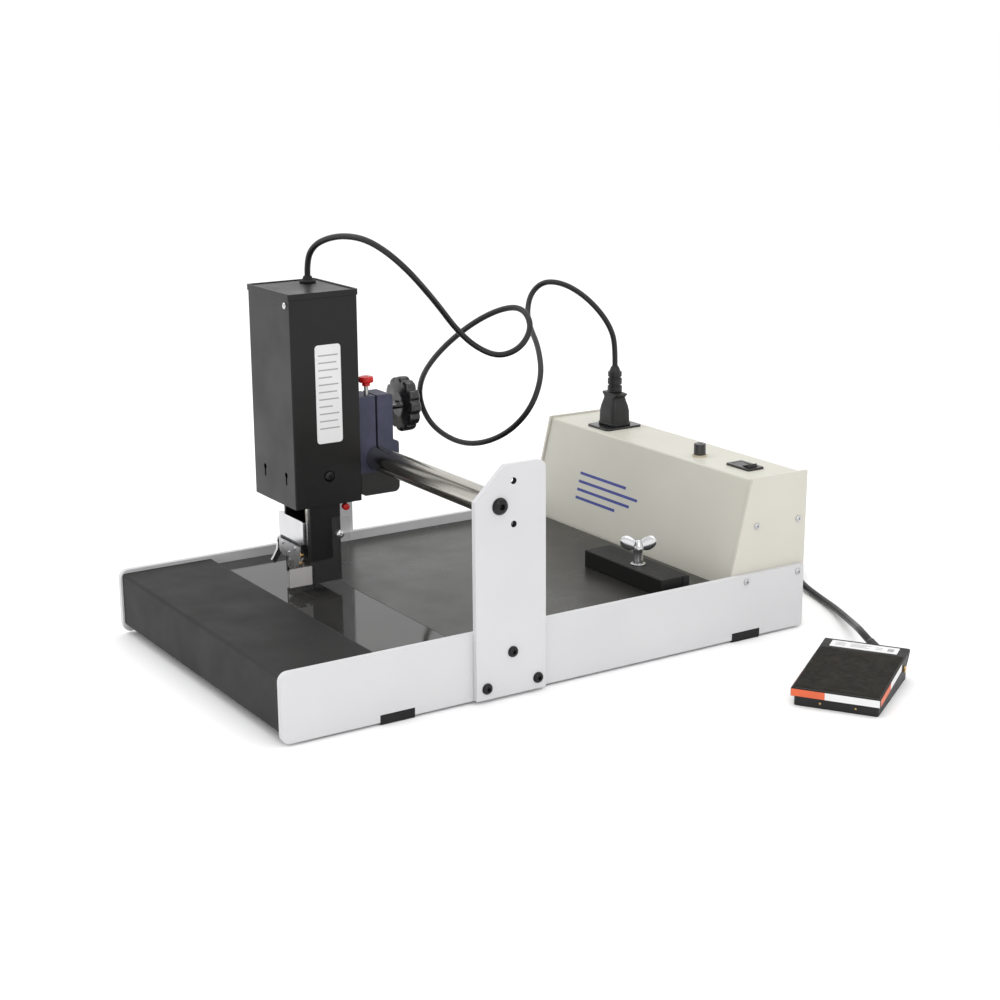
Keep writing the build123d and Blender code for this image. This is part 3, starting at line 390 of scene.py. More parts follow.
def soft_rect(half_x, half_y, power=5.0):
    """An outline function for a rectangle with rounded corners."""
    def outline(angle):
        c, s = cos(angle), sin(angle)
        return (
            half_x * abs(c) ** (2 / power) * (1 if c >= 0 else -1),
            half_y * abs(s) ** (2 / power) * (1 if s >= 0 else -1),
        )
    return outline


def add_prism(shape, place, outline, thickness, round_edges=0.0):
    """Adds a plate: an outline in mm on the place's local x and y, raised along local z."""
    part = bmesh.new()
    low = [part.verts.new(Vector((x / 1000, y / 1000, 0))) for x, y in outline]
    high = [part.verts.new(Vector((x / 1000, y / 1000, thickness / 1000))) for x, y in outline]
    part.faces.new(list(reversed(low)))
    part.faces.new(high)
    count = len(outline)
    for i in range(count):
        j = (i + 1) % count
        part.faces.new((low[i], low[j], high[j], high[i]))
    if round_edges:
        bmesh.ops.bevel(
            part, geom=[e for e in part.edges if e.calc_face_angle(0) > radians(30)],
            offset=round_edges / 1000, segments=3, profile=0.5, affect="EDGES",
        )
    part.transform(place)
    mesh = bpy.data.meshes.new("part")
    part.to_mesh(mesh)
    part.free()
    shape.from_mesh(mesh)
    bpy.data.meshes.remove(mesh)


def rounded(half_x, half_y, radius, steps=6):
    """Outline points of a rectangle whose corners have that radius."""
    points = []
    for cx, cy, start in ((1, 1, 0), (-1, 1, 1), (-1, -1, 2), (1, -1, 3)):
        for i in range(steps + 1):
            angle = pi / 2 * (start + i / steps)
            points.append((
                cx * (half_x - radius) + radius * cos(angle),
                cy * (half_y - radius) + radius * sin(angle),
            ))
    return points


# ---------------------------------------------------------------- cords
HEAD_CORD_D = 0.0063
PEDAL_CORD_D = 0.0075
GROMMET_AT = (-98, 184)
GROMMET_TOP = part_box("cord_grommet")[1].z * 1000
PLUG_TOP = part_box("head_plug")[1].z * 1000
OUTLET = (-105.0, 578.0)
BOX_BACK = 613.9
GLAND = (-26.3, 30.0)
GLAND_END = BOX_BACK + 28
COIL_AT = (20.0, 694.0)
COIL_COLUMNS = (38.7, 46.3)
COIL_LAYERS = (4.0, 11.5, 19.0)
POINTS_PER_TURN = 16

HEAD_ROUTE = [
    (*GROMMET_AT, GROMMET_TOP),
    (-98, 184, 393),
    (-86, 187, 408),
    (-63, 192, 417),
    (-37, 198, 421),
    (-11, 206, 419),
    (8, 218, 408),
    (11, 238, 390),
    (4, 260, 370),
    (-10, 287, 346),
    (-23, 315, 318),
    (-22, 338, 297),
    (-6, 357, 287),
    (10, 375, 298),
    (8, 389, 320),
    (-16, 391, 336),
    (-50, 383, 329),
    (-93, 371, 306),
    (-145, 364, 270),
    (-187, 366, 234),
    (-203, 374, 202),
    (-194, 388, 171),
    (-151, 404, 158),
    (-101, 420, 175),
    (-69, 436, 208),
    (-71, 454, 244),
    (-106, 473, 271),
    (-150, 490, 287),
    (-172, 501, 301),
    (-179, 511, 320),
    (-168, 521, 334),
    (-145, 532, 334),
    (-124, 546, 322),
    (-110, 562, 301),
    (-105, 574, 279),
    (-105, 578, 259),
    (-105, 578, PLUG_TOP),
]


def cord_curve(name, points, radius):
    """A NURBS curve with the route's points as its control points."""
    curve = bpy.data.curves.new(name, "CURVE")
    curve.dimensions = "3D"
    curve.resolution_u = 8
    curve.bevel_depth = radius
    curve.bevel_resolution = 5
    curve.use_fill_caps = True
    spline = curve.splines.new("NURBS")
    spline.points.add(len(points) - 1)
    for control, place in zip(spline.points, points):
        control.co = (*place, 1)
    spline.order_u = 3
    spline.use_endpoint_u = True
    return curve


def spline_line(curve):
    """The points that a curve's centreline follows."""
    plain = curve.copy()
    plain.bevel_depth = 0
    holder = bpy.data.objects.new("line", plain)
    bpy.context.scene.collection.objects.link(holder)
    bpy.context.view_layer.update()
    mesh = bpy.data.meshes.new_from_object(holder)
    line = [v.co.copy() for v in mesh.vertices]
    bpy.data.objects.remove(holder)
    return line


def make_head_cord():
    """The head's cord as a mesh, with the line that its centre follows."""
    curve = cord_curve("head_cord_route", [at(*p) for p in HEAD_ROUTE], HEAD_CORD_D / 2)
    line = spline_line(curve)
    holder = bpy.data.objects.new("holder", curve)
    bpy.context.scene.collection.objects.link(holder)
    bpy.context.view_layer.update()
    mesh = bpy.data.meshes.new_from_object(holder)
    bpy.data.objects.remove(holder)
    mesh.name = "head_cord_tube"
    mesh.shade_smooth()
    mesh.materials.clear()
    cord = add_object("head_cord_sheath", mesh, None, sheath, ("head_cord",))
    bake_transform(cord)
    return cord, line


head_cord, head_line = make_head_cord()


def coil_points():
    """The wound turns, clockwise from the lead's side, from the top layer down and out."""
    slots = [(1, 2), (0, 2), (0, 1), (0, 0), (1, 0), (1, 1)]
    leave_angle = radians(40)
    turns = len(slots) - 1 + (pi - leave_angle) / tau
    points = []
    change = 0.22
    steps = int(turns * POINTS_PER_TURN)
    for i in range(1, steps + 1):
        turn = turns * i / steps
        index = min(int(turn), len(slots) - 1)
        part = max(0.0, (turn - index - (1 - change)) / change)
        following = slots[min(index + 1, len(slots) - 1)]
        blend = part * part * (3 - 2 * part)
        here = slots[index]
        radius = COIL_COLUMNS[here[0]] * (1 - blend) + COIL_COLUMNS[following[0]] * blend
        height = COIL_LAYERS[here[1]] * (1 - blend) + COIL_LAYERS[following[1]] * blend
        angle = pi - tau * turn
        points.append((COIL_AT[0] + radius * cos(angle), COIL_AT[1] + radius * sin(angle), height))
    return points


BOOT_LENGTH = 24
BOOT_ROOT = (14.0, 60.6, 20.5)
BOOT_WAY = Vector((-0.62, 0.72, 0.2)).normalized()


def pedal_boot(distance):
    """A place on the axis of the foot switch's strain relief."""
    return pedal_place(
        BOOT_ROOT[0] + BOOT_WAY.x * distance,
        BOOT_ROOT[1] + BOOT_WAY.y * distance,
        BOOT_ROOT[2] + BOOT_WAY.z * distance,
    )


def make_pedal_cord():
    """The foot switch's cord: out of the box, round the coil, and along the bench to the pedal."""
    route = [at(*p) for p in (
        (GLAND[0], GLAND_END, GLAND[1]),
        (GLAND[0], GLAND_END + 13, GLAND[1]),
        (GLAND[0], GLAND_END + 27, GLAND[1] - 4.5),
        (GLAND[0], GLAND_END + 42, 19.5),
    )]
    route += [at(*p) for p in coil_points()]
    route += [at(*p) for p in (
        (72, 707, 9),
        (98, 696.5, 5.5),
        (137, 685.5, 3.85),
        (180, 669, 5.85),
        (220, 648, 9.85),
        (262, 621, 18),
    )]
    route += [pedal_boot(2 * BOOT_LENGTH), pedal_boot(BOOT_LENGTH)]
    curve = cord_curve("pedal_cord_route", route, PEDAL_CORD_D / 2)
    return add_object("pedal_cord_sheath", curve, "base", sheath,
                      ("pedal_cord", "pedal_cord_lead", "pedal_cord_coil"))


pedal_cord = make_pedal_cord()


# ---------------------------------------------------------------- plug, grommet and strain reliefs
def make_plug():
    """The moulded plug on the head's cord, with finger ears and a ribbed neck."""
    shape = bmesh.new()
    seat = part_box("outlet_socket")[1].z * 1000
    place = Matrix.Translation(at(OUTLET[0], OUTLET[1], seat))
    rings = [
        (0.1, soft_rect(16.4, 13.2)), (0.8, soft_rect(17.0, 13.8)), (2.6, soft_rect(17.0, 13.8)),
        (3.2, soft_rect(15.6, 13.2)), (17.0, soft_rect(15.2, 12.8)), (23.0, soft_rect(14.0, 11.6)),
        (28.5, soft_rect(12.2, 9.8)), (32.0, soft_rect(11.4, 9.0)), (34.0, soft_rect(13.0, 8.8)),
        (36.2, soft_rect(16.4, 8.4)), (37.4, soft_rect(16.0, 8.2)), (37.8, soft_rect(11.0, 8.0, 3)),
        (38.2, soft_rect(8.6, 7.6, 2.4)),
    ]
    add_rings(shape, place, rings, 64)
    neck = [(37.5, 8.2)]
    top = PLUG_TOP - seat
    for start, end, radius in ((38.4, 45.6, 8.4), (47.4, 54.4, 8.2), (56.2, 62.2, 8.0)):
        neck += [(start, radius - 1.3), (start + 0.4, radius), (end - 0.4, radius), (end, radius - 1.3)]
    neck += [(63.4, 6.2), (65.6, 5.4), (top - 1, 4.4), (top, 3.9)]
    add_rings(shape, place, neck, 40)
    blade = soft_rect(0.75, 3.2, 8)
    for x in (-6.35, 6.35):
        pin = Matrix.Translation(at(OUTLET[0] + x, OUTLET[1] + 3, seat))
        add_rings(shape, pin, [(-16, blade), (0.2, blade)], 16)
    ground = Matrix.Translation(at(OUTLET[0], OUTLET[1] - 8.9, seat))
    add_rings(shape, ground, [(-17, 1.4), (-15.6, 2.4), (0.2, 2.4)], 24)
    return add_object("head_plug_body", to_mesh("plug", shape), "base", plug_rubber,
                      ("head_plug",))


def ribbed_boot(shape, place, length, root, tip, ribs):
    """Adds a tapered strain relief with ribs cut round it, along the place's local z."""
    rings = [(-0.2, root)]
    pitch = length * 0.8 / ribs
    for i in range(ribs):
        height = length * 0.12 + i * pitch
        radius = root + (tip - root) * height / length
        rings += [(height, radius), (height + pitch * 0.12, radius - 0.9),
                  (height + pitch * 0.5, radius - 0.95), (height + pitch * 0.62, radius - 0.05)]
    rings += [(length - 0.6, tip + 0.1), (length, tip - 0.3)]
    add_rings(shape, place, rings, 36)


def make_boots():
    """Both strain reliefs of the foot switch's cord."""
    shape = bmesh.new()
    back = facing(at(GLAND[0], BOX_BACK, GLAND[1]), (0, 1, 0))
    add_rings(shape, back, [(-6, 6.0), (0, 6.0), (0.01, 8.3), (3.2, 8.5), (4, 7.9), (4.2, 6.6)], 36)
    ribbed_boot(shape, back @ Matrix.Translation((0, 0, 0.004)), BOOT_LENGTH, 6.5, 4.6, 6)
    way = pedal_boot(1) - pedal_boot(0)
    wall = facing(pedal_place(14, 57.5, 20.5), pedal_place(0, 1, 0) - pedal_place(0, 0, 0))
    add_rings(shape, wall, [(-5, 4.4), (0, 4.4), (0.01, 5.4), (3.6, 5.6), (4.4, 5.0)], 36)
    ribbed_boot(shape, facing(pedal_boot(0), way), BOOT_LENGTH, 5.3, 4.4, 6)
    return add_object("strain_reliefs", to_mesh("boots", shape), "base", grey_rubber,
                      ("cord_bushings",))


def make_grommet():
    """The rubber bush where the cord leaves the head's cap."""
    shape = bmesh.new()
    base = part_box("head_cap")[1].z * 1000 - 1
    place = Matrix.Translation(at(*GROMMET_AT, base))
    top = GROMMET_TOP - base
    add_rings(shape, place, [
        (-8, 4.9), (0, 4.9), (0.02, 8.0), (0.6, 8.5), (2.0, 8.5), (2.6, 7.8), (3.0, 6.0),
        (3.6, 5.4), (4.4, 5.3), (4.7, 4.9), (5.6, 4.8), (top - 0.5, 4.3), (top, 3.8),
    ], 40)
    add_object("head_grommet", to_mesh("grommet", shape), "carriage", black_rubber,
               ("cord_grommet",))


plug = make_plug()
boots = make_boots()
make_grommet()


# ---------------------------------------------------------------- bolts and screws
TOWER_FACE = 197.5
BOX_FACE = 185.3


def add_button_head(shape, centre, way, radius, height, key):
    """Adds a domed screw head with a hexagon socket, seated at centre."""
    rings = [(-0.4, radius * 0.96), (0, radius)]
    for i in range(1, 8):
        angle = pi / 2 * i / 8
        rings.append((height * sin(angle), radius * (0.42 + 0.58 * cos(angle))))
    rings += [(height, key * 1.32), (height, hexagon(key)), (height * 0.25, hexagon(key * 0.97))]
    add_rings(shape, facing(centre, way), rings, 48)


def make_bolts():
    """Bolt heads, shanks and nuts of the towers, the bar's ends and the control box."""
    nut = [(-17.5, hexagon(5.0)), (-17.2, hexagon(5.5)), (-12.5, hexagon(5.5)), (-12.2, hexagon(5.2))]
    ends, towers, box = bmesh.new(), bmesh.new(), bmesh.new()
    for side in (1, -1):
        way = (side, 0, 0)
        bar_end = at(side * TOWER_FACE, 226.2, 191.1)
        add_button_head(ends, bar_end, way, 8.35, 4.5, 2.8)
        add_rings(ends, facing(bar_end, way), [(-30, 4.2), (-29, 4.7), (0, 4.7)])
        for y, z in ((239.9, 46.2), (210.8, 14.4), (268.6, 14.3)):
            seat = at(side * TOWER_FACE, y, z)
            add_button_head(towers, seat, way, 5.55, 3.1, 1.98)
            add_rings(towers, facing(seat, way), [(-19, 2.7), (-18.4, 3.1), (0, 3.1)], 24)
            add_rings(towers, facing(seat, way), nut, 48)
        for x, y, z, reach in (
            (BOX_FACE, 548.8, 119.0, 9), (BOX_FACE, 605.3, 118.7, 9),
            (RAIL_OUTER, 531.8, 63.1, 12), (RAIL_OUTER, 601.7, 62.9, 12),
        ):
            seat = at(side * x, y, z)
            add_button_head(box, seat, way, 3.6, 1.9, 1.2)
            add_rings(box, facing(seat, way), [(-reach, 1.4), (0.4 - reach, 1.7), (0, 1.7)], 16)
    add_object("bar_end_screws", to_mesh("end_screws", ends, 30), "base", black_oxide,
               ("bar_end_bolts",))
    add_object("tower_screws", to_mesh("tower_screws", towers, 30), "base", black_oxide,
               ("tower_bolts",))
    add_object("box_fixings", to_mesh("box_fixings", box, 30), "base", satin_chrome,
               ("box_screws",))


def make_tower_inserts():
    """Dark threaded inserts in the two spare holes of each tower."""
    shape = bmesh.new()
    for side in (1, -1):
        for y, z in ((241.7, 213.5), (241.7, 171.8)):
            place = facing(at(side * (TOWER_FACE - 0.1), y, z), (side, 0, 0))
            profile = [(-5.7, 3.2), (-0.1, 3.2), (0.0, 3.05)]
            for i in range(14):
                profile += [(-0.2 - i * 0.39, 2.9), (-0.4 - i * 0.39, 2.65)]
            profile += [(-5.7, 2.9)]
            loops = [[
                shape.verts.new(place @ Vector((
                    radius * cos(tau * k / 32) / 1000, radius * sin(tau * k / 32) / 1000, height / 1000)))
                for k in range(32)
            ] for height, radius in profile]
            bridge(shape, loops + loops[:1])
    add_object("tower_inserts", to_mesh("inserts", shape, 50), "base", black_oxide)


make_bolts()
make_tower_inserts()


def make_head_screws():
    """The head's front and side screws, and the guard's screw with its spacer."""
    bright, dark = bmesh.new(), bmesh.new()
    face = facing(at(-35.4, 126.4, 357.6), (0, -1, 0))
    add_rings(bright, face, [
        (-1.5, 2.0), (0, 3.3), (0.6, 3.4), (1.4, 2.8), (1.7, 1.7), (1.7, 0.9), (1.1, 0.5),
    ], 32)
    add_button_head(dark, at(-25.5, 165.0, 182.0), (1, 0, 0), 5.2, 2.2, 2.0)
    guard = facing(at(-28, 176.4, 119.2), (1, 0, 0))
    add_rings(bright, guard, [
        (-11, 1.6), (-10.8, 2.0), (-5.0, 2.0), (-5.0, 4.4), (-2.0, 4.4), (-2.0, 2.0), (0, 2.0),
        (0, 4.2), (0.8, 4.3), (1.8, 3.6), (2.4, 2.2), (2.4, 1.2), (1.6, 0.7),
    ], 40)
    add_object("head_face_screws", to_mesh("face_screws", bright, 40), "carriage", chrome,
               ("head_screws",))
    add_object("head_side_screw", to_mesh("side_screw", dark, 30), "carriage", black_oxide)


make_head_screws()


# ---------------------------------------------------------------- knobs and wing screw
def make_clamp_knob():
    """Fluted hand knob with a domed hub, on the stud behind the clamp block."""
    flutes = 12

    def fluted(radius, depth):
        return polar(lambda angle: radius - depth * (1 - (0.5 + 0.5 * cos(flutes * angle))) ** 3)

    shape = bmesh.new()
    place = facing(at(-51, 259.5, 240.8), (0, 1, 0))
    add_rings(shape, place, [
        (0.6, 4.8), (0.0, 9.0), (0.0, 14.0), (0.4, 15.0), (0.8, fluted(24, 0.6)), (1.0, fluted(27.2, 2.2)),
        (1.8, fluted(28.4, 2.8)), (3.2, fluted(28.9, 3.0)), (10.2, fluted(28.9, 3.0)),
        (11.8, fluted(28.3, 2.8)), (12.9, fluted(26.8, 2.4)), (13.4, fluted(24.6, 1.2)),
        (13.2, 20.5), (11.8, 19.4), (11.9, 14.6), (13.6, 13.2), (15.2, 10.8), (16.1, 7.0), (16.4, 3.0),
    ], 192)
    add_object("clamp_knob_moulding", to_mesh("clamp_knob", shape, 50), "knob", gloss_black,
               ("clamp_knob",))


def make_height_screw():
    """Small red knurled knob on its steel screw."""
    def knurled(radius):
        return polar(lambda angle: radius - 0.35 * (0.5 + 0.5 * cos(28 * angle)))

    shape = bmesh.new()
    place = Matrix.Translation(at(-43.5, 219, 0))
    add_rings(shape, place, [
        (266.0, 3.2), (266.3, 4.0), (269.4, 4.2), (270.0, 6.8), (270.5, knurled(7.6)), (274.6, knurled(7.6)),
        (275.6, knurled(7.2)), (276.0, 6.2), (276.0, 3.0), (275.6, 2.4),
    ], 112)
    add_object("height_knob", to_mesh("height_knob", shape, 50), "height_screw", red_gloss,
               ("height_screw",))
    stem = bmesh.new()
    rings = [(240.4, 2.0)]
    for i in range(26):
        rings += [(241 + i * 0.95, 2.35), (241.475 + i * 0.95, 2.1)]
    rings += [(266.4, 2.35)]
    add_rings(stem, place, rings, 24)
    add_object("height_stem", to_mesh("height_stem", stem, 60), "height_screw", zinc)


WING_TURN = radians(57.0)


def make_wing_screw():
    """Cast wing screw: washer, tall hub, threaded stem and two flat wings spread at its top."""
    x, y = 118.0, 447.0
    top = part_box("stop_bar")[1].z * 1000
    shape = bmesh.new()
    place = Matrix.Translation(at(x, y, top))
    add_rings(shape, place, [(0, 7.4), (0.15, 8.0), (1.2, 8.0), (1.5, 7.5), (1.5, 5.2)], 40)
    add_rings(shape, place, [
        (1.5, 5.0), (1.8, 5.4), (6, 5.2), (12, 4.9), (15, 5.4), (18, 6.2), (21, 5.2), (23.5, 4.0),
        (25.5, 3.4), (26.4, 2.0),
    ], 40)
    stem = [(-28, 2.2), (-27.4, 2.9)]
    for i in range(24):
        stem += [(-27 + i * 1.1, 3.05), (-26.45 + i * 1.1, 2.7)]
    stem += [(0.2, 3.0)]
    add_rings(shape, place, stem, 24)
    c, s = cos(WING_TURN), sin(WING_TURN)
    for side in (1, -1):
        loops = []
        for i in range(17):
            t = i / 16
            reach = side * (2.0 + 16.9 * t)
            height = 19.5 + 6.6 * t
            half = 2.6 + 4.6 * sin(pi * min(1.0, 0.08 + t * 0.86)) ** 0.8
            half *= sqrt(max(0.03, 1 - max(0.0, (t - 0.8) / 0.2) ** 2.4))
            thick = 2.0 - 0.5 * t
            loop = []
            for k in range(24):
                a = tau * k / 24
                along = reach - side * half * 0.22 * sin(a)
                across = thick * cos(a)
                loop.append(shape.verts.new(at(
                    x + along * c - across * s, y + along * s + across * c, top + height + half * sin(a))))
            loops.append(loop)
        bridge(shape, loops)
        shape.faces.new(loops[0])
        shape.faces.new(loops[-1])
    add_object("wing_screw_casting", to_mesh("wing_screw", shape, 50), "wing_screw", chrome,
               ("stop_wing_screw",))


make_clamp_knob()
make_height_screw()
make_wing_screw()


# ---------------------------------------------------------------- labels and small trim
def flat_label(name, place, outline, body, material, thickness=0.25):
    """A thin label plate stuck on a face."""
    shape = bmesh.new()
    add_prism(shape, place, outline, thickness)
    add_object(name, to_mesh(name, shape), body, material)


def make_labels():
    """The head's label and the box's front, with plain rules where the lettering is left out."""
    centre = at(0, 166.9, 266.7)
    centre.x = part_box("head_housing")[1].x
    place = facing(centre, (1, 0, 0), (0, 1, 0))
    flat_label("head_label", place, rounded(14.3, 50.0, 3.5), "carriage", paper_white)
    raised = place @ Matrix.Translation((0, 0, 0.00025))
    shape = bmesh.new()
    for row in range(11):
        wide = (11.0, 10.2, 11.0, 7.5)[row % 4]
        top, far = 40 - row * 7.4, -11 + 2 * wide
        low = 38.6 - row * 7.4
        add_prism(shape, raised, [(-11, top), (-11, low), (far, low), (far, top)], 0.06)
    add_object("head_label_rules", to_mesh("rules", shape), "carriage", label_grey)

    slope = Vector((0, 30.2 / 1000, 121.5 / 1000)).normalized()
    front = facing(at(-52, 526.6, 100.4), Vector((0, -slope.z, slope.y)), (1, 0, 0))
    shape = bmesh.new()
    for index, (left, right) in enumerate(((-54, 34), (-54, 58), (-54, 46), (-54, 22))):
        y = 17 - index * 9.5
        add_prism(shape, front, [(left, y), (right, y), (right, y + 3.2), (left, y + 3.2)], 0.12)
    add_object("box_front_rules", to_mesh("front_rules", shape), "base", label_blue)


def make_leg_trim():
    """The red stop button behind the leg's top."""
    shape = bmesh.new()
    place = facing(at(-38.5, 187.7, 145.1), (1, 0, 0))
    add_rings(shape, place, [(0, 2.6), (0.2, 3.5), (3.8, 3.7), (5.2, 3.3), (5.8, 2.0)], 32)
    add_object("leg_button", to_mesh("leg_button", shape), "carriage", red_gloss)


make_labels()
make_leg_trim()

# ---------------------------------------------------------------- numbering unit
WHEEL_RADIUS, WHEEL_WIDTH, WHEEL_PITCH = 13.0, 6.0, 6.6
WHEELS_LEFT = -76.2
WHEEL_AXIS = (152.0, 83.5)
DIGIT_BARS = {
    "top": (-1.35, 1.75, 1.35, 2.4), "middle": (-1.2, -0.3, 1.2, 0.3), "foot": (-1.35, -2.4, 1.35, -1.75),
    "upper left": (-1.65, 0.15, -1.0, 2.25), "upper right": (1.0, 0.15, 1.65, 2.25),
    "lower left": (-1.65, -2.25, -1.0, -0.15), "lower right": (1.0, -2.25, 1.65, -0.15),
}
DIGITS = (
    ("top", "foot", "upper left", "upper right", "lower left", "lower right"),
    ("upper right", "lower right"),
    ("top", "middle", "foot", "upper right", "lower left"),
    ("top", "middle", "foot", "upper right", "lower right"),
    ("middle", "upper left", "upper right", "lower right"),
    ("top", "middle", "foot", "upper left", "lower right"),
    ("top", "middle", "foot", "upper left", "lower left", "lower right"),
    ("top", "upper right", "lower right"),
    ("top", "middle", "foot", "upper left", "upper right", "lower left", "lower right"),
    ("top", "middle", "foot", "upper left", "upper right", "lower right"),
)


def decagon(radius):
    """An outline function for a ten-sided wheel of that corner radius."""
    return polar(lambda angle: radius * cos(pi / 10) / cos((angle % (pi / 5)) - pi / 10))


def make_number_wheels():
    """Engraving wheels with raised figures, cut in mirror image as they print."""
    flat = WHEEL_RADIUS * cos(pi / 10)
    for index in range(4):
        shape = bmesh.new()
        left = WHEELS_LEFT + index * WHEEL_PITCH
        place = facing(at(left, *WHEEL_AXIS), (1, 0, 0))
        add_rings(shape, place, [
            (0, 3.1), (0, 7.6), (0.7, 8.2), (0.7, 10.2), (0, 10.8), (0, decagon(12.2)),
            (0.35, decagon(12.96)), (WHEEL_WIDTH - 0.35, decagon(12.96)), (WHEEL_WIDTH, decagon(12.2)),
            (WHEEL_WIDTH, 10.8),
            (WHEEL_WIDTH - 0.7, 10.2), (WHEEL_WIDTH - 0.7, 8.2), (WHEEL_WIDTH, 7.6), (WHEEL_WIDTH, 3.1),
        ], 120)
        for figure, bars in enumerate(DIGITS):
            angle = pi / 10 + figure * pi / 5
            out = Vector((0, -sin(angle), cos(angle)))
            middle = at(left + WHEEL_WIDTH / 2, *WHEEL_AXIS) + out * (flat - 0.1) / 1000
            seat = facing(middle, out, (1, 0, 0))
            for bar in bars:
                x1, y1, x2, y2 = DIGIT_BARS[bar]
                outline = [(-x2, y1), (-x1, y1), (-x1, y2), (-x2, y2)]
                add_prism(shape, seat, outline, 0.5)
        add_object(f"figure_wheel_{index + 1}", to_mesh("wheel", shape, 30), f"wheel_{index + 1}",
                   tool_steel, (f"number_wheel_{index + 1}",))


def make_unit_trim():
    """Lower cover plate, its slot, pins and pivots on the numbering unit's front."""
    plate, pins, slot = bmesh.new(), bmesh.new(), bmesh.new()
    front = facing(at(0, 138.7, 0), (0, -1, 0), (1, 0, 0))
    outline = [(-91, 107.6), (-91, 95), (-84, 90), (-66, 91.5), (-60, 86), (-50, 85), (-43, 92),
               (-43, 107.6)]
    add_prism(plate, front, outline, 1.3, 0.35)
    lip = [(-91, 109.6), (-91, 107.0), (-43, 107.0), (-43, 109.6)]
    add_prism(slot, facing(at(0, 140.0, 0), (0, -1, 0), (1, 0, 0)), lip, 0.8)
    for x, z, radius in ((-82, 104.2, 1.7), (-54, 104.2, 1.7), (-68, 97, 1.2)):
        add_rings(plate, facing(at(x, 137.4, z), (0, -1, 0)),
                  [(-0.2, radius), (0.8, radius), (1.1, radius * 0.8), (1.1, radius * 0.3)], 24)
    for x, z in ((-42.2, 99.5), (-44.5, 90.5)):
        add_rings(pins, facing(at(x, 138.9, z), (0, -1, 0)),
                  [(-1.6, 1.8), (1.4, 1.9), (1.8, 1.5), (1.8, 0.6), (1.2, 0.4)], 24)
    add_object("unit_lower_plate", to_mesh("lower_plate", plate, 35), "ram", satin_chrome)
    add_object("unit_slot", to_mesh("slot", slot, 35), "ram", black_oxide)
    add_object("unit_pivots", to_mesh("pivots", pins, 35), "ram", brass)


make_number_wheels()
make_unit_trim()

# ---------------------------------------------------------------- foot switch
PEDAL_HALF = 42.8
PEDAL_FRONT, PEDAL_BACK = -59.5, 59.5
PEDAL_FRONT_TOP, PEDAL_BACK_TOP = 18.6, 30.0
PEDAL_SLOPE = (PEDAL_BACK_TOP - PEDAL_FRONT_TOP) / (PEDAL_BACK - PEDAL_FRONT)


def pedal_top(along):
    """The height of the treadle's sloping top."""
    return PEDAL_FRONT_TOP + (along - PEDAL_FRONT) * PEDAL_SLOPE


def make_treadle():
    """The pressed treadle: a crowned plate with rolled edges and a skirt that narrows at the hinge."""
    shape = bmesh.new()
    ups = [PEDAL_FRONT + (PEDAL_BACK - PEDAL_FRONT) * i / 28 for i in range(29)]

    def skirt(along):
        """The skirt's lower edge."""
        ahead = PEDAL_FRONT_TOP - 8.4
        if along < 22:
            return ahead + (14.6 - ahead) * (along - PEDAL_FRONT) / (22 - PEDAL_FRONT)
        dip = max(0.0, 1 - abs(along - 34) / 12)
        rest = 14.6 + (pedal_top(PEDAL_BACK) - 3 - 14.6) * max(0.0, (along - 44) / 15.5)
        return rest - 2.2 * dip

    loops = []
    round_off = 1.6
    for along in ups:
        top, low = pedal_top(along), skirt(along)
        section = [(-PEDAL_HALF + 1.2, low), (-PEDAL_HALF, low), (-PEDAL_HALF, top - round_off)]
        for k in range(1, 6):
            a = pi / 2 * k / 5
            section.append((-PEDAL_HALF + round_off * (1 - cos(a)), top - round_off * (1 - sin(a))))
        section += [(-14, top), (14, top)]
        for k in range(5, 0, -1):
            a = pi / 2 * k / 5
            section.append((PEDAL_HALF - round_off * (1 - cos(a)), top - round_off * (1 - sin(a))))
        section += [(PEDAL_HALF, top - round_off), (PEDAL_HALF, low), (PEDAL_HALF - 1.2, low)]
        section += [(PEDAL_HALF - 1.2, top - 2.4), (-PEDAL_HALF + 1.2, top - 2.4)]
        loops.append([shape.verts.new(pedal_place(x, along, z)) for x, z in section])
    bridge(shape, loops)
    shape.faces.new(loops[0])
    shape.faces.new(loops[-1])
    add_object("treadle_plate", to_mesh("treadle", shape, 35), "treadle", pedal_paint,
               ("pedal_treadle",))
    skirt_front = bmesh.new()
    place = facing(pedal_place(0, PEDAL_FRONT, 0), pedal_place(0, -1, 0) - pedal_place(0, 0, 0),
                   pedal_place(1, 0, 0) - pedal_place(0, 0, 0))
    low, high = PEDAL_FRONT_TOP - 8.4, PEDAL_FRONT_TOP - 0.8
    outline = [(-PEDAL_HALF + 0.3, low), (PEDAL_HALF - 0.3, low), (PEDAL_HALF - 0.3, high),
               (-PEDAL_HALF + 0.3, high)]
    add_prism(skirt_front, place, outline, 0.5)
    add_object("treadle_front", to_mesh("treadle_front", skirt_front), "treadle", pedal_paint)


def make_tread_mat():
    """The grip sheet on the treadle, with fine raised pebbles."""
    shape = bmesh.new()
    along_steps, across_steps = 44, 40
    ahead, behind = PEDAL_FRONT + 1.4, 39.0
    grid = []
    for i in range(along_steps + 1):
        row = []
        for j in range(across_steps + 1):
            along = ahead + (behind - ahead) * i / along_steps
            across = -PEDAL_HALF + 1.8 + (2 * PEDAL_HALF - 3.6) * j / across_steps
            rim = i in (0, along_steps) or j in (0, across_steps)
            lift = 0.02 if rim else 0.65 + 0.12 * sin(i * 2.4) * sin(j * 2.9)
            row.append(shape.verts.new(pedal_place(across, along, pedal_top(along) + lift)))
        grid.append(row)
    for i in range(along_steps):
        for j in range(across_steps):
            shape.faces.new((grid[i][j], grid[i][j + 1], grid[i + 1][j + 1], grid[i + 1][j]))
    add_object("treadle_mat", to_mesh("mat", shape, 70), "treadle", tread)


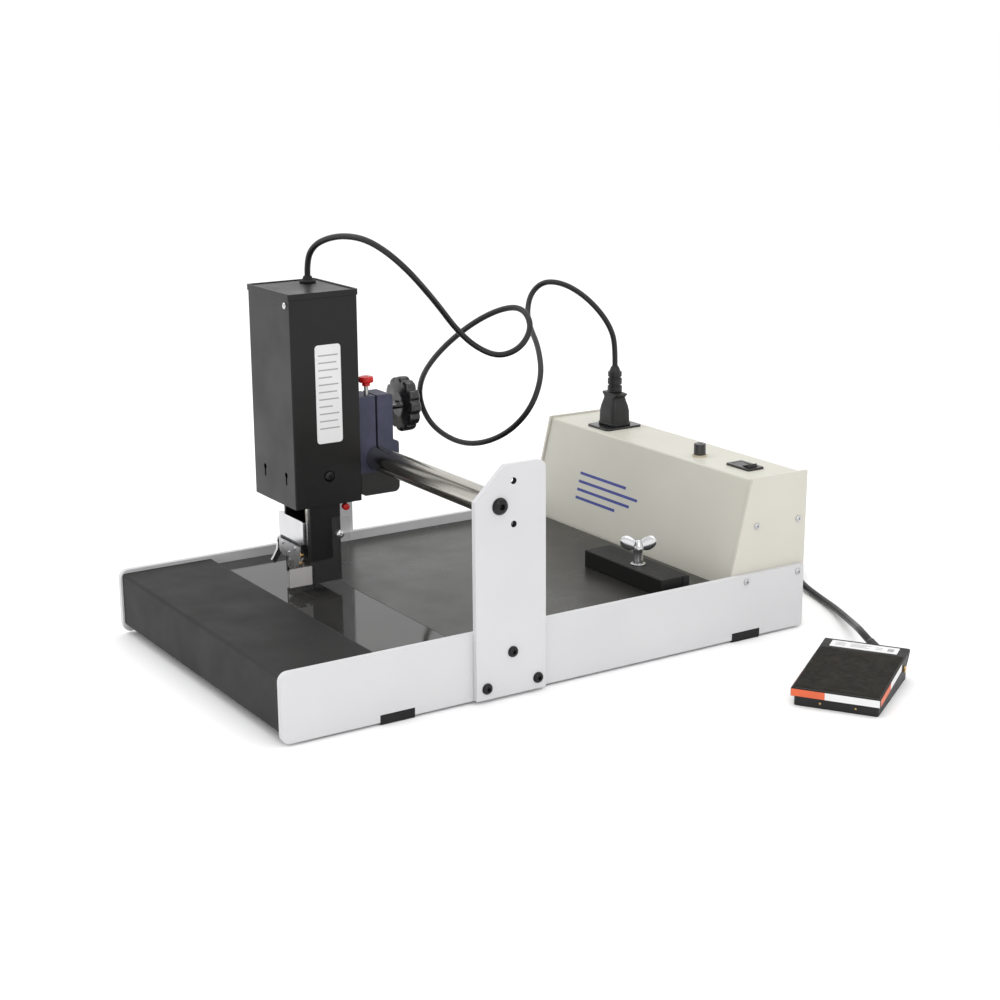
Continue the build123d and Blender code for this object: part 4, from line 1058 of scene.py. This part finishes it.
def make_pedal_labels():
    """Coloured strips round the treadle's skirt and the plain-ruled label behind its mat."""
    right = (pedal_place(1, 0, 0) - pedal_place(0, 0, 0)).normalized()
    ahead = (pedal_place(0, -1, 0) - pedal_place(0, 0, 0)).normalized()
    front = facing(pedal_place(0, PEDAL_FRONT - 0.5, PEDAL_FRONT_TOP - 4.7), ahead, right)
    split = -PEDAL_HALF + 0.385 * 2 * PEDAL_HALF
    for name, left, far, material in (
        ("treadle_strip_orange", -PEDAL_HALF + 0.5, split, label_orange),
        ("treadle_strip_white", split, PEDAL_HALF - 0.5, paper_white),
    ):
        outline = [(left, -3.4), (far, -3.4), (far, 3.5), (left, 3.5)]
        flat_label(name, front, outline, "treadle", material, 0.15)
    side_names = (("treadle_side_orange", -58.5, -20.0, label_orange),
                  ("treadle_side_white", -20.0, 24.0, paper_white))
    for side in (1, -1):
        for name, start, end, material in side_names:
            place = facing(pedal_place(side * PEDAL_HALF, 0, 0), right * side, -ahead)
            outline = [
                (along, side * (pedal_top(along) - drop))
                for along, drop in ((start, 7.4), (end, 7.6), (end, 1.0), (start, 1.0))
            ]
            flat_label(f"{name}_{'right' if side > 0 else 'left'}", place, outline, "treadle", material,
                       0.15)
    slope_up = (Vector((0, 0, 1)) + ahead * PEDAL_SLOPE).normalized()
    rear = facing(pedal_place(0, 49.3, pedal_top(49.3)), slope_up, right)
    flat_label("treadle_rear_label", rear, rounded(33.5, 7.2, 0.8), "treadle", paper_white, 0.2)
    marks = bmesh.new()
    raised = rear @ Matrix.Translation((0, 0, 0.0002))
    for left, far, y in (
        (-29, -19, 2.6), (-29, -19, -0.2), (-29, -19, -3.0), (-14, 6, 2.6), (-14, 2, -0.2),
        (-14, 5, -3.0), (11, 18, 1.2), (11, 18, -2.2),
    ):
        add_prism(marks, raised, [(left, y), (far, y), (far, y + 1.1), (left, y + 1.1)], 0.06)
    add_prism(marks, raised, [(23, -3.4), (29, -3.4), (29, 3.2), (23, 3.2)], 0.06)
    add_object("treadle_label_rules", to_mesh("marks", marks), "treadle", label_grey)


def make_pedal_rivets():
    """Two brass rivets in the front of the pedal's base."""
    shape = bmesh.new()
    ahead = pedal_place(0, -1, 0) - pedal_place(0, 0, 0)
    for across in (-15.0, 19.0):
        add_rings(shape, facing(pedal_place(across, -56.6, 5.0), ahead),
                  [(-0.5, 1.0), (0, 1.2), (0.5, 1.0), (0.7, 0.5)], 20)
    add_object("pedal_rivets", to_mesh("rivets", shape), "base", brass)


make_treadle()
make_tread_mat()
make_pedal_labels()
make_pedal_rivets()


# ---------------------------------------------------------------- finger guard and stop end
def make_guard():
    """The clear side plate, with a frosted patch where fingers would reach the wheels."""
    plate = [(66, -116), (94.5, -116), (94.5, -168), (135, -168), (136.4, -168.6), (137, -170),
             (137, -186), (136.4, -187.4), (135, -188), (68, -188), (66.6, -187.4), (66, -186)]
    patch = [(71.5, -143), (91, -143), (91, -117.5), (71.5, -117.5)]
    for name, side, outline, thickness, material, replaced in (
        ("guard_frosted", -28, patch, 0.2, frosted_sheet, ()),
        ("guard_clear", -30, plate, 2, clear_sheet, ("finger_guard",)),
    ):
        shape = bmesh.new()
        add_prism(shape, facing(at(side, 0, 0), (1, 0, 0)), outline, thickness)
        add_object(name, to_mesh(name, shape), "carriage", material, replaced)


def make_stop_end():
    """The dark strip that caps the rear half of the stop bar's right end."""
    shape = bmesh.new()
    outline = [(60.3, -467), (78.3, -467), (78.3, -459.5), (60.3, -459.5)]
    add_prism(shape, facing(at(177.5, 0, 0), (1, 0, 0)), outline, 0.8, 0.2)
    add_object("stop_end_strip", to_mesh("stop_end_strip", shape), "stop", black_rubber)


make_guard()
make_stop_end()


# ---------------------------------------------------------------- floor
FLOOR_HALF = 45.0


def make_floor():
    """A wide white bench top, which belongs to the stage and not to the object."""
    shape = bmesh.new()
    shape.faces.new([
        shape.verts.new((x * FLOOR_HALF, y * FLOOR_HALF, 0)) for x, y in ((-1, -1), (1, -1), (1, 1), (-1, 1))
    ])
    mesh = to_mesh("floor", shape)
    floor = bpy.data.objects.new("floor", mesh)
    bpy.context.scene.collection.objects.link(floor)
    mesh.materials.append(finish("floor_white", (0.96, 0.96, 0.96), 0.9, tone=0.005, tone_size=0.8,
                                 edge=0, sheen=0.1))


make_floor()
